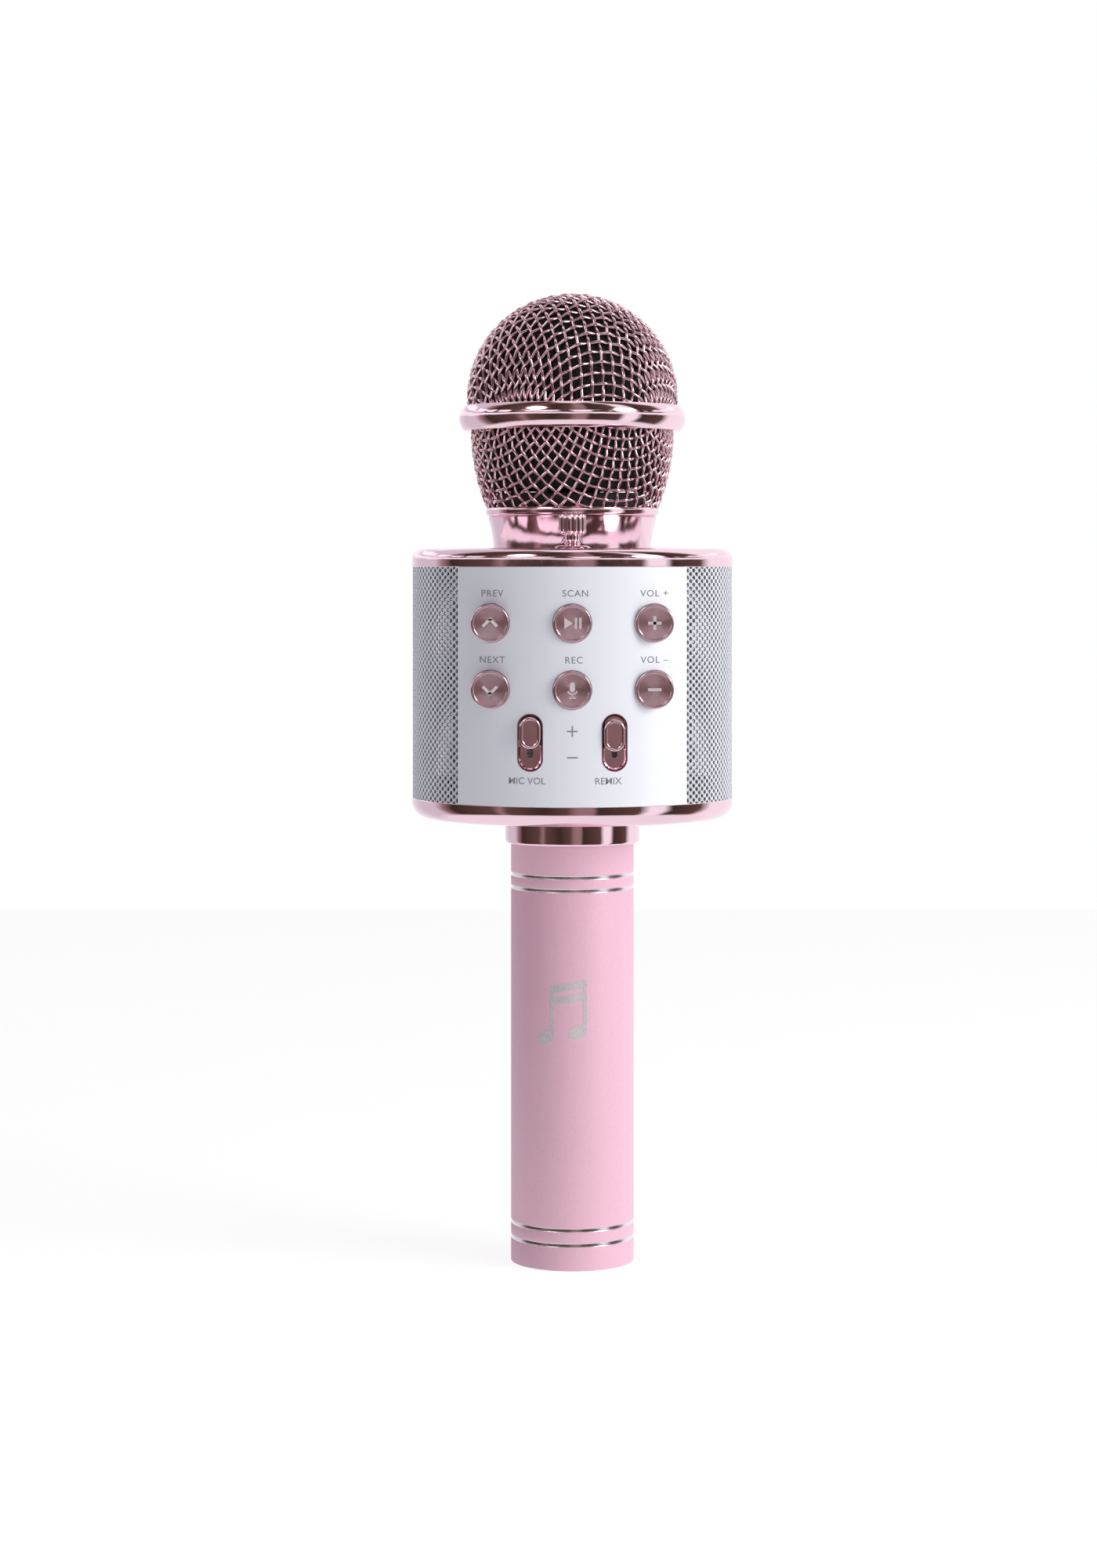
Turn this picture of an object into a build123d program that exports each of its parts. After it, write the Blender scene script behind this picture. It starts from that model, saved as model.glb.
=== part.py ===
from build123d import *
import os
from math import cos, radians, sin, sqrt

# A hand-held toy microphone with a drum-shaped loudspeaker between its handle and its wire-mesh head.
# Millimetres. The origin is the centre of the handle's flat end, +Z runs up the axis,
# the front panel with the buttons faces -Y, and +X is to the right of someone facing it.

os.makedirs("parts", exist_ok=True)

# ---- fits -----------------------------------------------------------------------------------------
seat_gap = 0.1          # radial gap between pieces that are glued or clipped together
running_gap = 0.05      # radial gap of the head on the neck
slide_gap = 0.12        # gap round a button or a slider knob
free_gap = 0.3          # gap between pieces that only pass each other
overcut = 1.0           # how far a cut runs past the surface that it opens

# ---- handle ---------------------------------------------------------------------------------------
handle_radius = 16.2
handle_wall = 1.6
handle_length = 117.0   # from the flat end to the underside of the drum
groove_width = 0.75
groove_depth = 0.25
groove_heights = (6.7, 10.6, 98.6, 102.0)
collar_wall = 1.4
collar_height = 7.0
collar_rounding = 1.0
plug_thickness = 4.0

# ---- battery --------------------------------------------------------------------------------------
cell_radius = 9.2
cell_length = 65.0
cell_gap = 0.2
cradle_end = 5.0
lead_spacing = 5.0      # between the two battery leads
lead_low_inset = 4.5    # from the spigot's bore to the leads where they leave the cradle
lead_high_inset = 0.5   # from the spigot's bore to the leads where they enter the drum
lead_straight = 10.0    # of the leads' bend below the drum's floor
lead_levels = (4.0, 11.0)   # of the leads' two bends above the frame's plate
lead_run_out = 6.0      # straight end of the leads in front of the main board

# ---- drum -----------------------------------------------------------------------------------------
drum_radius = 42.3
panel_height = 60.5
panel_wall = 1.8
panel_half_angle = 44.0
grille_sheet = 0.8
grille_inset = 0.2
grille_end_gap = 0.2    # degrees between a grille and the panel beside it
bottom_cap_height = 5.2
bottom_cap_rounding = 3.8
top_cap_height = 4.8
top_cap_rounding = 3.0
cap_wall = 1.6
frame_plate = 2.0
frame_lip = 1.5
lip_overlap = 2.0
spigot_wall = 2.0
spigot_length = 22.0
post_radius = 2.6
post_angle = 46.0
cable_hole_radius = 12.0

# ---- screws ---------------------------------------------------------------------------------------
screw_radius = 1.1
screw_head_radius = 2.1
screw_head_height = 1.0
screw_length = 7.0
screw_hole_gap = 0.1
screw_recess_gap = 0.2
boss_radius = 2.6
boss_wall_gap = 2.2     # from a lower screw boss to the frame's lip
low_boss_column = 16.5
high_boss_column = 10.4

# ---- buttons --------------------------------------------------------------------------------------
button_radius = 4.85
button_column = 20.8
button_row_from_top = 14.2
button_row_pitch = 16.8
button_proud = 0.8
button_travel = 0.5
button_flange = 0.55
button_flange_height = 1.0
button_dish_depth = 0.35
button_rim = 0.6
sleeve_wall = 1.2
switch_size = 5.2
switch_height = 3.1
plunger_radius = 1.5
plunger_height = 0.5
board_thickness = 1.6
chips = ((-12.0, 16.8, 9.0, 9.0), (15.5, 22.8, 7.0, 10.0), (-12.0, 36.8, 6.0, 8.0))   # x, level and size

# ---- volume sliders -------------------------------------------------------------------------------
slider_column = 10.65
slider_height = 16.2    # above the lower edge of the panel
tray_width = 5.5
tray_height = 13.6
tray_wall = 0.5
tray_depth = 3.4
tray_floor = 0.8
slider_travel = 5.0
slider_end_gap = 0.3
slider_knob_proud = 0.9
right_knob_drop = 0.65
lever_width = 1.2
lever_height = 2.4
lever_engagement = 1.0
pot_width = 6.0
pot_length = 18.0
pot_body = 4.5

# ---- rear sockets, heights above the lower edge of the panel ---------------------------------------
switch_above = 8.8
charge_above = 18.8
usb_above = 29.8
card_above = 40.3
jack_above = 50.3
light_offset = 9.0
socket_gap = 0.25
usb_size = (13.1, 5.7)
usb_wall = 0.35
usb_tongue = (11.1, 1.9)
usb_tongue_setback = 1.4
charge_size = (7.6, 2.9)
charge_wall = 0.3
charge_tongue = (3.7, 0.7)
charge_tongue_setback = 1.0
card_size = (14.0, 2.4)
card_slot = (11.2, 1.2)
card_slot_depth = 10.0
jack_body = 8.0
jack_nose_radius = 3.0
jack_bore_radius = 1.8
jack_bore_length = 12.0
light_radius = 1.5
power_body = (12.0, 5.0)
power_body_height = 10.0
power_knob_size = (3.6, 2.8)
power_travel = 3.0
power_knob_proud = 0.7

# ---- speakers -------------------------------------------------------------------------------------
speaker_flange = 42.0
speaker_flange_thickness = 2.0
speaker_flange_rounding = 6.0
speaker_radius = 20.0
speaker_throat_radius = 11.5
speaker_basket_depth = 10.0
speaker_wall = 1.2
magnet_radius = 11.0
magnet_thickness = 8.0
cone_paper = 0.6
cone_apex_radius = 6.0
cone_depth = 7.0
cone_rim = 2.0
speaker_screw_offset = 17.5
baffle_thickness = 2.0
baffle_inner_x = 27.0
baffle_half_width = 22.5
tag_size = (3.0, 6.0)   # solder tag on the basket, along X and Z
tag_reach = 16.0
tag_lead_spacing = 3.0

# ---- neck and head --------------------------------------------------------------------------------
neck_base_radius = 20.8
neck_top_radius = 22.25
neck_height = 8.5
neck_bore_radius = 18.0
neck_tail_wall = 0.8
neck_spigot_radius = 19.9
neck_spigot_height = 6.0
rim_radius = 22.8
rim_height = 2.5
rim_rounding = 0.4
cup_base_radius = 23.0
cup_top_radius = 26.9
cup_height = 20.0
mesh_thickness = 1.0
ring_height = 6.6
ring_end_proud = 2.15   # the ring's ends beyond the cup's top edge
ring_middle_proud = 3.0
ring_overlap = 0.9      # the ring's bore inside the cup's top edge
ring_rounding = 0.6
dome_proud = 1.1        # the dome's widest circle beyond the cup's top edge
dome_rise = 1.9         # the dome's centre above the top of the ring
foam_gap = 0.2
foam_bore_gap = 0.6
foam_base_gap = 1.0
foam_top_gap = 2.0

# ---- capsule --------------------------------------------------------------------------------------
stem_radius = 7.0
stem_bore_radius = 4.5
stem_height = 30.1
stem_flange_thickness = 2.0
capsule_radius = 7.0
capsule_height = 12.0
capsule_rounding = 0.5
capsule_lead_drop = 8.0     # of the lead's first bend below the upper frame
capsule_lead_reach = (5.0, 15.0)
capsule_lead_rise = 2.0     # of the lead's straight end above the upper frame
capsule_lead_clear = 4.0    # between the jack and the lead under it
boot_wall = 1.5
boot_floor = 3.0
boot_height = 14.0

# ---- strap post in front of the neck --------------------------------------------------------------
post_foot_radius = 4.7
post_waist_radius = 1.85
post_head_radius = 3.5
post_foot_height = 0.6
post_waist_height = 3.1
post_head_height = 5.9
post_waist_rounding = 1.2
flute_count = 14
flute_radius = 0.45
strap_post_gap = 0.4

# ---- wires ----------------------------------------------------------------------------------------
wire_radius = 0.6
ribbon_width = 10.0
ribbon_thickness = 0.6
ribbon_level = 13.0     # above the frame's plate
ribbon_side = 4.0       # from the axis to the ribbon's near edge
ribbon_sag = 5.0
ribbon_straight = 10.0
bend_share = 0.45       # of the shorter run beside a bend, taken up by the bend

# ---- levels and radii worked out from the sizes above ----------------------------------------------
panel_base = handle_length + bottom_cap_height
panel_top = panel_base + panel_height
drum_top = panel_top + top_cap_height
neck_top = drum_top + neck_height
rim_top = neck_top + rim_height
cup_top = rim_top + cup_height
ring_top = cup_top + ring_height
dome_centre = ring_top + dome_rise
dome_radius = cup_top_radius + dome_proud
ring_end_radius = cup_top_radius + ring_end_proud
ring_middle_radius = cup_top_radius + ring_middle_proud
ring_bore_radius = cup_top_radius - ring_overlap
panel_inner = drum_radius - panel_wall
frame_radius = panel_inner - 2 * seat_gap
screw_circle_radius = frame_radius - frame_lip - boss_radius - boss_wall_gap
lower_floor = handle_length + cap_wall
lower_plate_top = lower_floor + frame_plate
upper_plate_top = drum_top - cap_wall
upper_plate_base = upper_plate_top - frame_plate
handle_bore = handle_radius - handle_wall
spigot_radius = handle_bore - seat_gap
spigot_bore = spigot_radius - spigot_wall
middle_height = (panel_base + panel_top) / 2
post_circle = frame_radius - post_radius - 2 * free_gap
board_edge = button_column + switch_size / 2 + seat_gap
button_rows = (panel_top - button_row_from_top, panel_top - button_row_from_top - button_row_pitch)
slider_level = panel_base + slider_height
knob_length = tray_height - slider_travel - 2 * slider_end_gap


def chord(radius, x):
    """How far in front of the axis a round wall lies at the sideways distance x."""
    return sqrt(radius ** 2 - x ** 2)


flange_radius = button_radius + button_flange
flange_front = -chord(panel_inner, button_column + flange_radius) + free_gap
flange_back = flange_front + button_flange_height
plunger_front = flange_back + button_travel + seat_gap
board_face = -(plunger_front + plunger_height + switch_height)
board_back = board_face - board_thickness
board_low = panel_base + lip_overlap + free_gap
board_high = panel_top - lip_overlap - free_gap
boss_low = board_low + boss_radius + free_gap
boss_high = board_high - boss_radius - free_gap
boss_spots = ((-low_boss_column, boss_low), (low_boss_column, boss_low),
              (-high_boss_column, boss_high), (high_boss_column, boss_high))


# ---- helpers --------------------------------------------------------------------------------------
def save(node, shape):
    """Write one piece, or one group of like pieces, under its own name."""
    export_step(shape, f"parts/{node}.step")


def rod(start, end, radius):
    """A round rod between two points that lie on a line along X, Y or Z."""
    line = Vector(*end) - Vector(*start)
    return extrude(Plane(origin=start, z_dir=line.normalized()) * Circle(radius), line.length)


def block(low, high):
    """A box between two opposite corners."""
    size = [high[i] - low[i] for i in range(3)]
    middle = [(high[i] + low[i]) / 2 for i in range(3)]
    return Pos(*middle) * Box(*size)


def block_y(x, z, width, height, start, end):
    """A box of the given width and height about (x, z), from one Y to another."""
    return block((x - width / 2, start, z - height / 2), (x + width / 2, end, z + height / 2))


def stadium_y(x, z, width, height, start, end):
    """An upright stadium about (x, z), pushed along Y."""
    face = Plane(origin=(x, start, z), x_dir=(1, 0, 0), z_dir=(0, 1, 0))
    return extrude(face * SlotOverall(height, width, rotation=90), end - start)


def turned(points, rounds=(), plane=Plane.XZ, axis=Axis.Z):
    """A turned piece from its half section; rounds pairs a corner with its radius."""
    outline = make_face(Polyline(*points, close=True))
    for point, radius in rounds:
        outline = fillet(outline.vertices().sort_by_distance(Vector(*point))[:1], radius)
    return revolve(plane * outline, axis)


def tube(low, high, outer, inner):
    """A plain tube on the axis of the microphone."""
    return turned([(inner, low), (outer, low), (outer, high), (inner, high)])


def drum_sector(outer, inner, half_angle, turn):
    """A stretch of the drum's wall between its two caps, turned about Z from the front."""
    reach = 2 * outer
    side = reach * sin(radians(half_angle))
    front = -reach * cos(radians(half_angle))
    wedge = make_face(Polyline((0, 0), (side, front), (-side, front), close=True))
    section = (Circle(outer) - Circle(inner)) & wedge
    return Pos(0, 0, panel_base) * Rot(0, 0, turn) * extrude(section, panel_height)


def sweep_wire(points, radius):
    """A round wire along a path of straight runs and arcs."""
    start = Plane(origin=points[0], z_dir=Vector(*points[1]) - Vector(*points[0]))
    return sweep(start * Circle(radius), path=wire_path(points))


def wire_path(points):
    """Straight runs joined by tangent arcs that are as open as the runs allow."""
    bends = []
    for before, corner, after in zip(points, points[1:], points[2:]):
        run_in = Vector(*corner) - Vector(*before)
        run_out = Vector(*after) - Vector(*corner)
        turn = radians(run_in.get_angle(run_out))
        bends.append(bend_share * min(run_in.length, run_out.length) * cos(turn / 2) / sin(turn / 2))
    return FilletPolyline(*points, radius=bends)


def screw(start, direction):
    """A pan-head screw whose head's top is at start and whose shank runs along direction."""
    origin = Vector(*start)
    step = Vector(*direction)
    neck = origin + step * screw_head_height
    tip = neck + step * screw_length
    return rod(tuple(origin), tuple(neck), screw_head_radius) + rod(tuple(neck), tuple(tip), screw_radius)


# ---- handle ---------------------------------------------------------------------------------------
def handle_tube():
    body = tube(0, handle_length, handle_radius, handle_bore)
    for height in groove_heights:
        body -= tube(height - groove_width / 2, height + groove_width / 2,
                     handle_radius + overcut, handle_radius - groove_depth)
    return body


def collar():
    inner = handle_radius + seat_gap
    outer = inner + collar_wall
    low = handle_length - collar_height
    points = [(inner, low), (outer, low), (outer, handle_length), (inner, handle_length)]
    return turned(points, [((outer, low), collar_rounding)])


def end_plug():
    return rod((0, 0, 0), (0, 0, plug_thickness), handle_bore - seat_gap)


def battery_cradle():
    top = plug_thickness + cell_length + 2 * cell_gap + 2 * cradle_end
    body = rod((0, 0, plug_thickness), (0, 0, top), handle_bore - free_gap)
    pocket = cell_radius + cell_gap
    low = plug_thickness + cradle_end
    high = top - cradle_end
    body -= rod((0, 0, low), (0, 0, high), pocket)
    body -= block((-pocket, -handle_radius, low), (pocket, 0, high))
    return body


def battery_cell():
    low = plug_thickness + cradle_end + cell_gap
    return rod((0, 0, low), (0, 0, low + cell_length), cell_radius)


def battery_leads():
    top = plug_thickness + cell_length + 2 * cell_gap + 2 * cradle_end
    inner = spigot_bore - lead_low_inset
    outer = spigot_bore - lead_high_inset
    first, second = [lower_plate_top + level for level in lead_levels]
    leads = []
    for x in (-lead_spacing / 2, lead_spacing / 2):
        route = [(x, inner, top), (x, inner, lower_floor - lead_straight), (x, outer, first),
                 (x, board_back - lead_run_out, second), (x, board_back, second)]
        leads.append(sweep_wire(route, wire_radius))
    return Compound(leads)


# ---- drum shell -----------------------------------------------------------------------------------
def lower_screw_spots():
    reach = screw_circle_radius
    return [(reach, 0), (0, reach), (-reach, 0), (0, -reach)]


def post_spots():
    x = post_circle * sin(radians(post_angle))
    y = post_circle * cos(radians(post_angle))
    return [(x, y), (x, -y), (-x, y), (-x, -y)]


def bottom_cap():
    hole = spigot_radius + seat_gap
    inner = drum_radius - cap_wall
    points = [(hole, handle_length), (drum_radius, handle_length), (drum_radius, panel_base),
              (inner, panel_base), (inner, lower_floor), (hole, lower_floor)]
    rounds = [((drum_radius, handle_length), bottom_cap_rounding),
              ((inner, lower_floor), bottom_cap_rounding - cap_wall)]
    body = turned(points, rounds)
    for x, y in lower_screw_spots():
        body -= rod((x, y, handle_length), (x, y, lower_floor), screw_radius + screw_hole_gap)
        body -= rod((x, y, handle_length), (x, y, handle_length + screw_head_height + seat_gap),
                    screw_head_radius + screw_recess_gap)
    return body


def top_cap():
    hole = neck_bore_radius + neck_tail_wall + seat_gap
    inner = drum_radius - cap_wall
    points = [(hole, upper_plate_top), (inner, upper_plate_top), (inner, panel_top),
              (drum_radius, panel_top), (drum_radius, drum_top), (hole, drum_top)]
    rounds = [((drum_radius, drum_top), top_cap_rounding),
              ((inner, upper_plate_top), top_cap_rounding - cap_wall)]
    return turned(points, rounds)


def lower_frame():
    plate_radius = frame_radius - bottom_cap_rounding / 2
    body = tube(lower_floor, lower_plate_top, plate_radius, spigot_bore)
    body += tube(handle_length - spigot_length, lower_floor, spigot_radius, spigot_bore)
    body += tube(lower_plate_top, panel_base + lip_overlap, frame_radius, frame_radius - frame_lip)
    body += tube((lower_floor + lower_plate_top) / 2, lower_plate_top, frame_radius, spigot_bore)
    for x, y in post_spots():
        body += rod((x, y, lower_plate_top), (x, y, upper_plate_base), post_radius)
        body -= rod((x, y, upper_plate_base - screw_length), (x, y, upper_plate_base),
                    screw_radius + screw_hole_gap)
    for x, y in lower_screw_spots():
        body += rod((x, y, lower_plate_top), (x, y, lower_plate_top + screw_length), boss_radius)
        body -= rod((x, y, lower_floor), (x, y, lower_plate_top + screw_length),
                    screw_radius + screw_hole_gap)
    return body


def upper_frame():
    plate_radius = frame_radius - top_cap_rounding / 2
    body = tube(upper_plate_base, upper_plate_top, plate_radius, cable_hole_radius)
    body += tube(upper_plate_base, upper_plate_base + frame_plate / 2, frame_radius, cable_hole_radius)
    body += tube(panel_top - lip_overlap, upper_plate_base, frame_radius, frame_radius - frame_lip)
    for x, y in post_spots():
        body -= rod((x, y, panel_top - lip_overlap), (x, y, upper_plate_base), post_radius + seat_gap)
        body -= rod((x, y, upper_plate_base), (x, y, upper_plate_top), screw_radius + screw_hole_gap)
        body -= rod((x, y, upper_plate_top - screw_head_height), (x, y, upper_plate_top),
                    screw_head_radius + screw_recess_gap)
    return body


def frame_screws():
    low = [screw((x, y, handle_length + seat_gap), (0, 0, 1)) for x, y in lower_screw_spots()]
    high = [screw((x, y, upper_plate_top), (0, 0, -1)) for x, y in post_spots()]
    return Compound(low + high)


def grille(side):
    outer = drum_radius - grille_inset
    half_angle = 90.0 - panel_half_angle - grille_end_gap
    return drum_sector(outer, outer - grille_sheet, half_angle, side * 90.0)


def board_boss(body, x, z, side):
    """Add to a panel the screw boss that its circuit board sits on."""
    start = (x, side * chord(panel_inner + panel_wall / 2, abs(x) + boss_radius), z)
    end = (x, side * board_face, z)
    body += rod(start, end, boss_radius)
    pilot = (x, side * (board_face + screw_length), z)
    return body - rod(pilot, end, screw_radius + screw_hole_gap)


def tray_outer():
    return tray_width + 2 * tray_wall, tray_height + 2 * tray_wall


def front_panel():
    body = drum_sector(drum_radius, panel_inner, panel_half_angle, 0)
    envelope = rod((0, 0, panel_base), (0, 0, panel_top), drum_radius)
    sleeve_end = flange_front - free_gap
    hole = button_radius + slide_gap
    for x in (-button_column, 0, button_column):
        for z in button_rows:
            body += rod((x, -drum_radius, z), (x, sleeve_end, z), hole + sleeve_wall) & envelope
            body -= rod((x, -drum_radius - overcut, z), (x, sleeve_end + overcut, z), hole)
    width, height = tray_outer()
    for x in (-slider_column, slider_column):
        body -= stadium_y(x, slider_level, width + 2 * seat_gap, height + 2 * seat_gap,
                          -drum_radius - overcut, -board_face - free_gap)
    for x, z in boss_spots:
        body = board_boss(body, x, z, -1)
    return body


def rear_panel():
    body = drum_sector(drum_radius, panel_inner, panel_half_angle, 180)
    start = panel_inner - panel_wall
    end = drum_radius + overcut
    windows = ((usb_size, usb_above), (charge_size, charge_above), (card_size, card_above))
    for (width, height), above in windows:
        window = (width + 2 * socket_gap, height + 2 * socket_gap)
        body -= block_y(0, panel_base + above, *window, start, end)
    slot = power_knob_size[0] + power_travel + 2 * socket_gap
    body -= block_y(0, panel_base + switch_above, slot, power_knob_size[1] + 2 * socket_gap, start, end)
    for x, above, radius in ((0, jack_above, jack_nose_radius + socket_gap),
                             (light_offset, charge_above, light_radius + seat_gap)):
        body -= rod((x, start, panel_base + above), (x, end, panel_base + above), radius)
    for x, z in boss_spots:
        body = board_boss(body, x, z, 1)
    return body


# ---- buttons, key board and sliders ----------------------------------------------------------------
def button(x, z):
    inner_edge = max(abs(x) - button_radius, 0)
    face = -(chord(drum_radius, inner_edge) + button_proud)
    points = [(0, face), (button_radius, face), (button_radius, flange_front), (flange_radius, flange_front),
              (flange_radius, flange_back), (0, flange_back)]
    cap = turned(points, [((button_radius, face), button_rim / 2)], Plane.XY, Axis.Y)
    cap -= rod((0, face, 0), (0, face + button_dish_depth, 0), button_radius - button_rim)
    return Pos(x, 0, z) * cap


def key_board():
    board = block((-board_edge, -board_face, board_low), (board_edge, -board_back, board_high))
    for x, z in boss_spots:
        board -= rod((x, -board_face, z), (x, -board_back, z), screw_radius + screw_hole_gap)
    return board


def tact_switches():
    switches = []
    for x in (-button_column, 0, button_column):
        for z in button_rows:
            body = block_y(x, z, switch_size, switch_size, -board_face - switch_height, -board_face)
            body += rod((x, plunger_front, z), (x, plunger_front + plunger_height, z), plunger_radius)
            switches.append(body)
    return Compound(switches)


def board_screws():
    front = [screw((x, -board_back + screw_head_height, z), (0, -1, 0)) for x, z in boss_spots]
    rear = [screw((x, board_back - screw_head_height, z), (0, 1, 0)) for x, z in boss_spots]
    return Compound(front + rear)


def slider_tray(x):
    width, height = tray_outer()
    floor = -chord(drum_radius, slider_column) + tray_depth
    body = stadium_y(x, slider_level, width, height, -drum_radius - overcut, floor + tray_floor)
    body &= rod((0, 0, panel_base), (0, 0, panel_top), drum_radius)
    body -= stadium_y(x, slider_level, tray_width, tray_height, -drum_radius - overcut, floor)
    slot = lever_height + slider_travel + 2 * slider_end_gap
    body -= block_y(x, slider_level, lever_width + 2 * slide_gap, slot, floor, floor + tray_floor)
    return body


def slide_pots():
    pots = []
    for x in (-slider_column, slider_column):
        body = block_y(x, slider_level, pot_width, pot_length, -board_face - pot_body, -board_face)
        slot = lever_height + slider_travel + 2 * slider_end_gap
        body -= block_y(x, slider_level, lever_width + 2 * slide_gap, slot,
                        -board_face - pot_body, -board_face - pot_body + 2 * lever_engagement)
        pots.append(body)
    return Compound(pots)


def slider_knob(x, drop):
    z = slider_level + slider_travel / 2 - drop
    face = -(chord(drum_radius, slider_column - tray_width / 2) + slider_knob_proud)
    back = -chord(drum_radius, slider_column) + tray_depth - free_gap
    body = stadium_y(x, z, tray_width - 2 * slide_gap, knob_length, face, back)
    body = fillet(body.edges().group_by(Axis.Y)[0], button_rim)
    return body + block_y(x, z, lever_width, lever_height, back, -board_face - pot_body + lever_engagement)


def key_ribbon():
    level = lower_plate_top + ribbon_level
    reach = board_back - ribbon_straight
    route = [(-board_back, level), (-reach, level), (0, level - ribbon_sag),
             (reach, level), (board_back, level)]
    points = [(ribbon_side + ribbon_width / 2, y, z) for y, z in route]
    start = Plane(origin=points[0], x_dir=(1, 0, 0), z_dir=(0, 1, 0))
    return sweep(start * Rectangle(ribbon_width, ribbon_thickness), path=wire_path(points))


# ---- main board and rear sockets --------------------------------------------------------------------
def main_board():
    board = block((-board_edge, board_back, board_low), (board_edge, board_face, board_high))
    for x, z in boss_spots:
        board -= rod((x, board_back, z), (x, board_face, z), screw_radius + screw_hole_gap)
    for x, above, width, height in chips:
        board += block_y(x, panel_base + above, width, height, board_face, board_face + board_thickness)
    return board


def framed_socket(size, wall, tongue, setback, above):
    """A metal-shelled socket that opens to the rear, with its tongue inside."""
    z = panel_base + above
    front = panel_inner - free_gap
    width, height = size
    body = block_y(0, z, width, height, board_face, front)
    body -= block_y(0, z, width - 2 * wall, height - 2 * wall, board_face + setback, front)
    return body + block_y(0, z, tongue[0], tongue[1], board_face + setback / 2, front - setback)


def card_socket():
    z = panel_base + card_above
    front = panel_inner - free_gap
    body = block_y(0, z, card_size[0], card_size[1], board_face, front)
    return body - block_y(0, z, card_slot[0], card_slot[1], front - card_slot_depth, front)


def aux_jack():
    z = panel_base + jack_above
    shoulder = panel_inner - panel_wall
    front = panel_inner + panel_wall / 2
    body = block_y(0, z, jack_body, jack_body, board_face, shoulder)
    body += rod((0, shoulder, z), (0, front, z), jack_nose_radius)
    return body - rod((0, front - jack_bore_length, z), (0, front, z), jack_bore_radius)


def power_switch():
    z = panel_base + switch_above
    return block_y(0, z, power_body[0], power_body[1], board_face, board_face + power_body_height)


def power_knob():
    z = panel_base + switch_above
    start = board_face + power_body_height + free_gap
    x = -power_travel / 2
    return block_y(x, z, power_knob_size[0], power_knob_size[1], start, drum_radius + power_knob_proud)


def light_pipe():
    z = panel_base + charge_above
    body = rod((light_offset, board_face, z), (light_offset, drum_radius, z), light_radius)
    return body & rod((0, 0, panel_base), (0, 0, panel_top), drum_radius)


# ---- speakers, built facing +X and turned half round for the left one --------------------------------
baffle_face = baffle_inner_x + baffle_thickness
flange_face = baffle_face + speaker_flange_thickness
basket_back = baffle_face - speaker_basket_depth


def about_x(points):
    """A turned piece on the speaker's axis, from (x, radius) points."""
    outline = make_face(Polyline(*[(x, radius) for x, radius in points], close=True))
    return Pos(0, 0, middle_height) * revolve(outline, Axis.X)


def speaker_screw_spots():
    offset = speaker_screw_offset
    return [(y, middle_height + z) for y in (-offset, offset) for z in (-offset, offset)]


def speaker_baffle():
    body = block((baffle_inner_x, -baffle_half_width, lower_plate_top),
                 (baffle_face, baffle_half_width, upper_plate_base))
    body -= about_x([(baffle_inner_x, 0), (baffle_inner_x, speaker_radius + free_gap),
                     (baffle_face, speaker_radius + free_gap), (baffle_face, 0)])
    for y, z in speaker_screw_spots():
        body -= rod((baffle_inner_x, y, z), (baffle_face, y, z), screw_radius + screw_hole_gap)
    return body


def speaker_basket():
    half = speaker_flange / 2
    flange_plane = Plane(origin=(baffle_face, 0, middle_height), x_dir=(0, 1, 0), z_dir=(1, 0, 0))
    sheet = RectangleRounded(2 * half, 2 * half, speaker_flange_rounding)
    body = extrude(flange_plane * sheet, speaker_flange_thickness)
    seat = speaker_radius - cone_rim
    body -= about_x([(baffle_face, 0), (baffle_face, seat), (flange_face, seat), (flange_face, 0)])
    body -= about_x([(flange_face - speaker_wall, 0), (flange_face - speaker_wall, speaker_radius + seat_gap),
                     (flange_face, speaker_radius + seat_gap), (flange_face, 0)])
    body += about_x([(baffle_face, speaker_radius), (baffle_face, speaker_radius - speaker_wall),
                     (basket_back + speaker_wall, speaker_throat_radius - speaker_wall),
                     (basket_back + speaker_wall, 0), (basket_back, 0), (basket_back, speaker_throat_radius)])
    floor = basket_back + speaker_wall
    throat = speaker_throat_radius - speaker_wall
    tag = block((floor, throat, middle_height - tag_size[1] / 2),
                (floor + tag_size[0], tag_reach, middle_height + tag_size[1] / 2))
    body += tag - about_x([(baffle_face, 0), (baffle_face, speaker_radius - speaker_wall),
                           (floor, throat), (floor, 0)])
    for y, z in speaker_screw_spots():
        body -= rod((baffle_face, y, z), (flange_face, y, z), screw_radius + screw_hole_gap)
    return body


def speaker_magnet():
    back = basket_back - magnet_thickness
    return rod((back, 0, middle_height), (basket_back, 0, middle_height), magnet_radius)


def speaker_cone():
    rim_back = flange_face - speaker_wall
    rim_inner = speaker_radius - cone_rim
    rim_front = rim_back + cone_paper
    apex = rim_back - cone_depth
    return about_x([(rim_back, speaker_radius), (rim_back, rim_inner), (apex, cone_apex_radius), (apex, 0),
                    (apex + 2 * cone_paper, 0), (apex + cone_paper, cone_apex_radius),
                    (rim_front, rim_inner + cone_paper / 2), (rim_front, speaker_radius)])


def speaker_screws():
    right = [screw((flange_face + screw_head_height, y, z), (-1, 0, 0)) for y, z in speaker_screw_spots()]
    left = [screw((-flange_face - screw_head_height, y, z), (1, 0, 0)) for y, z in speaker_screw_spots()]
    return Compound(right + left)


def speaker_leads():
    leads = []
    for side in (-1, 1):
        for rise in (-tag_lead_spacing / 2, tag_lead_spacing / 2):
            x = side * (basket_back + speaker_wall + tag_size[0] / 2)
            z = middle_height + rise
            leads.append(rod((x, tag_reach, z), (x, board_back, z), wire_radius))
    return Compound(leads)


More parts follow.
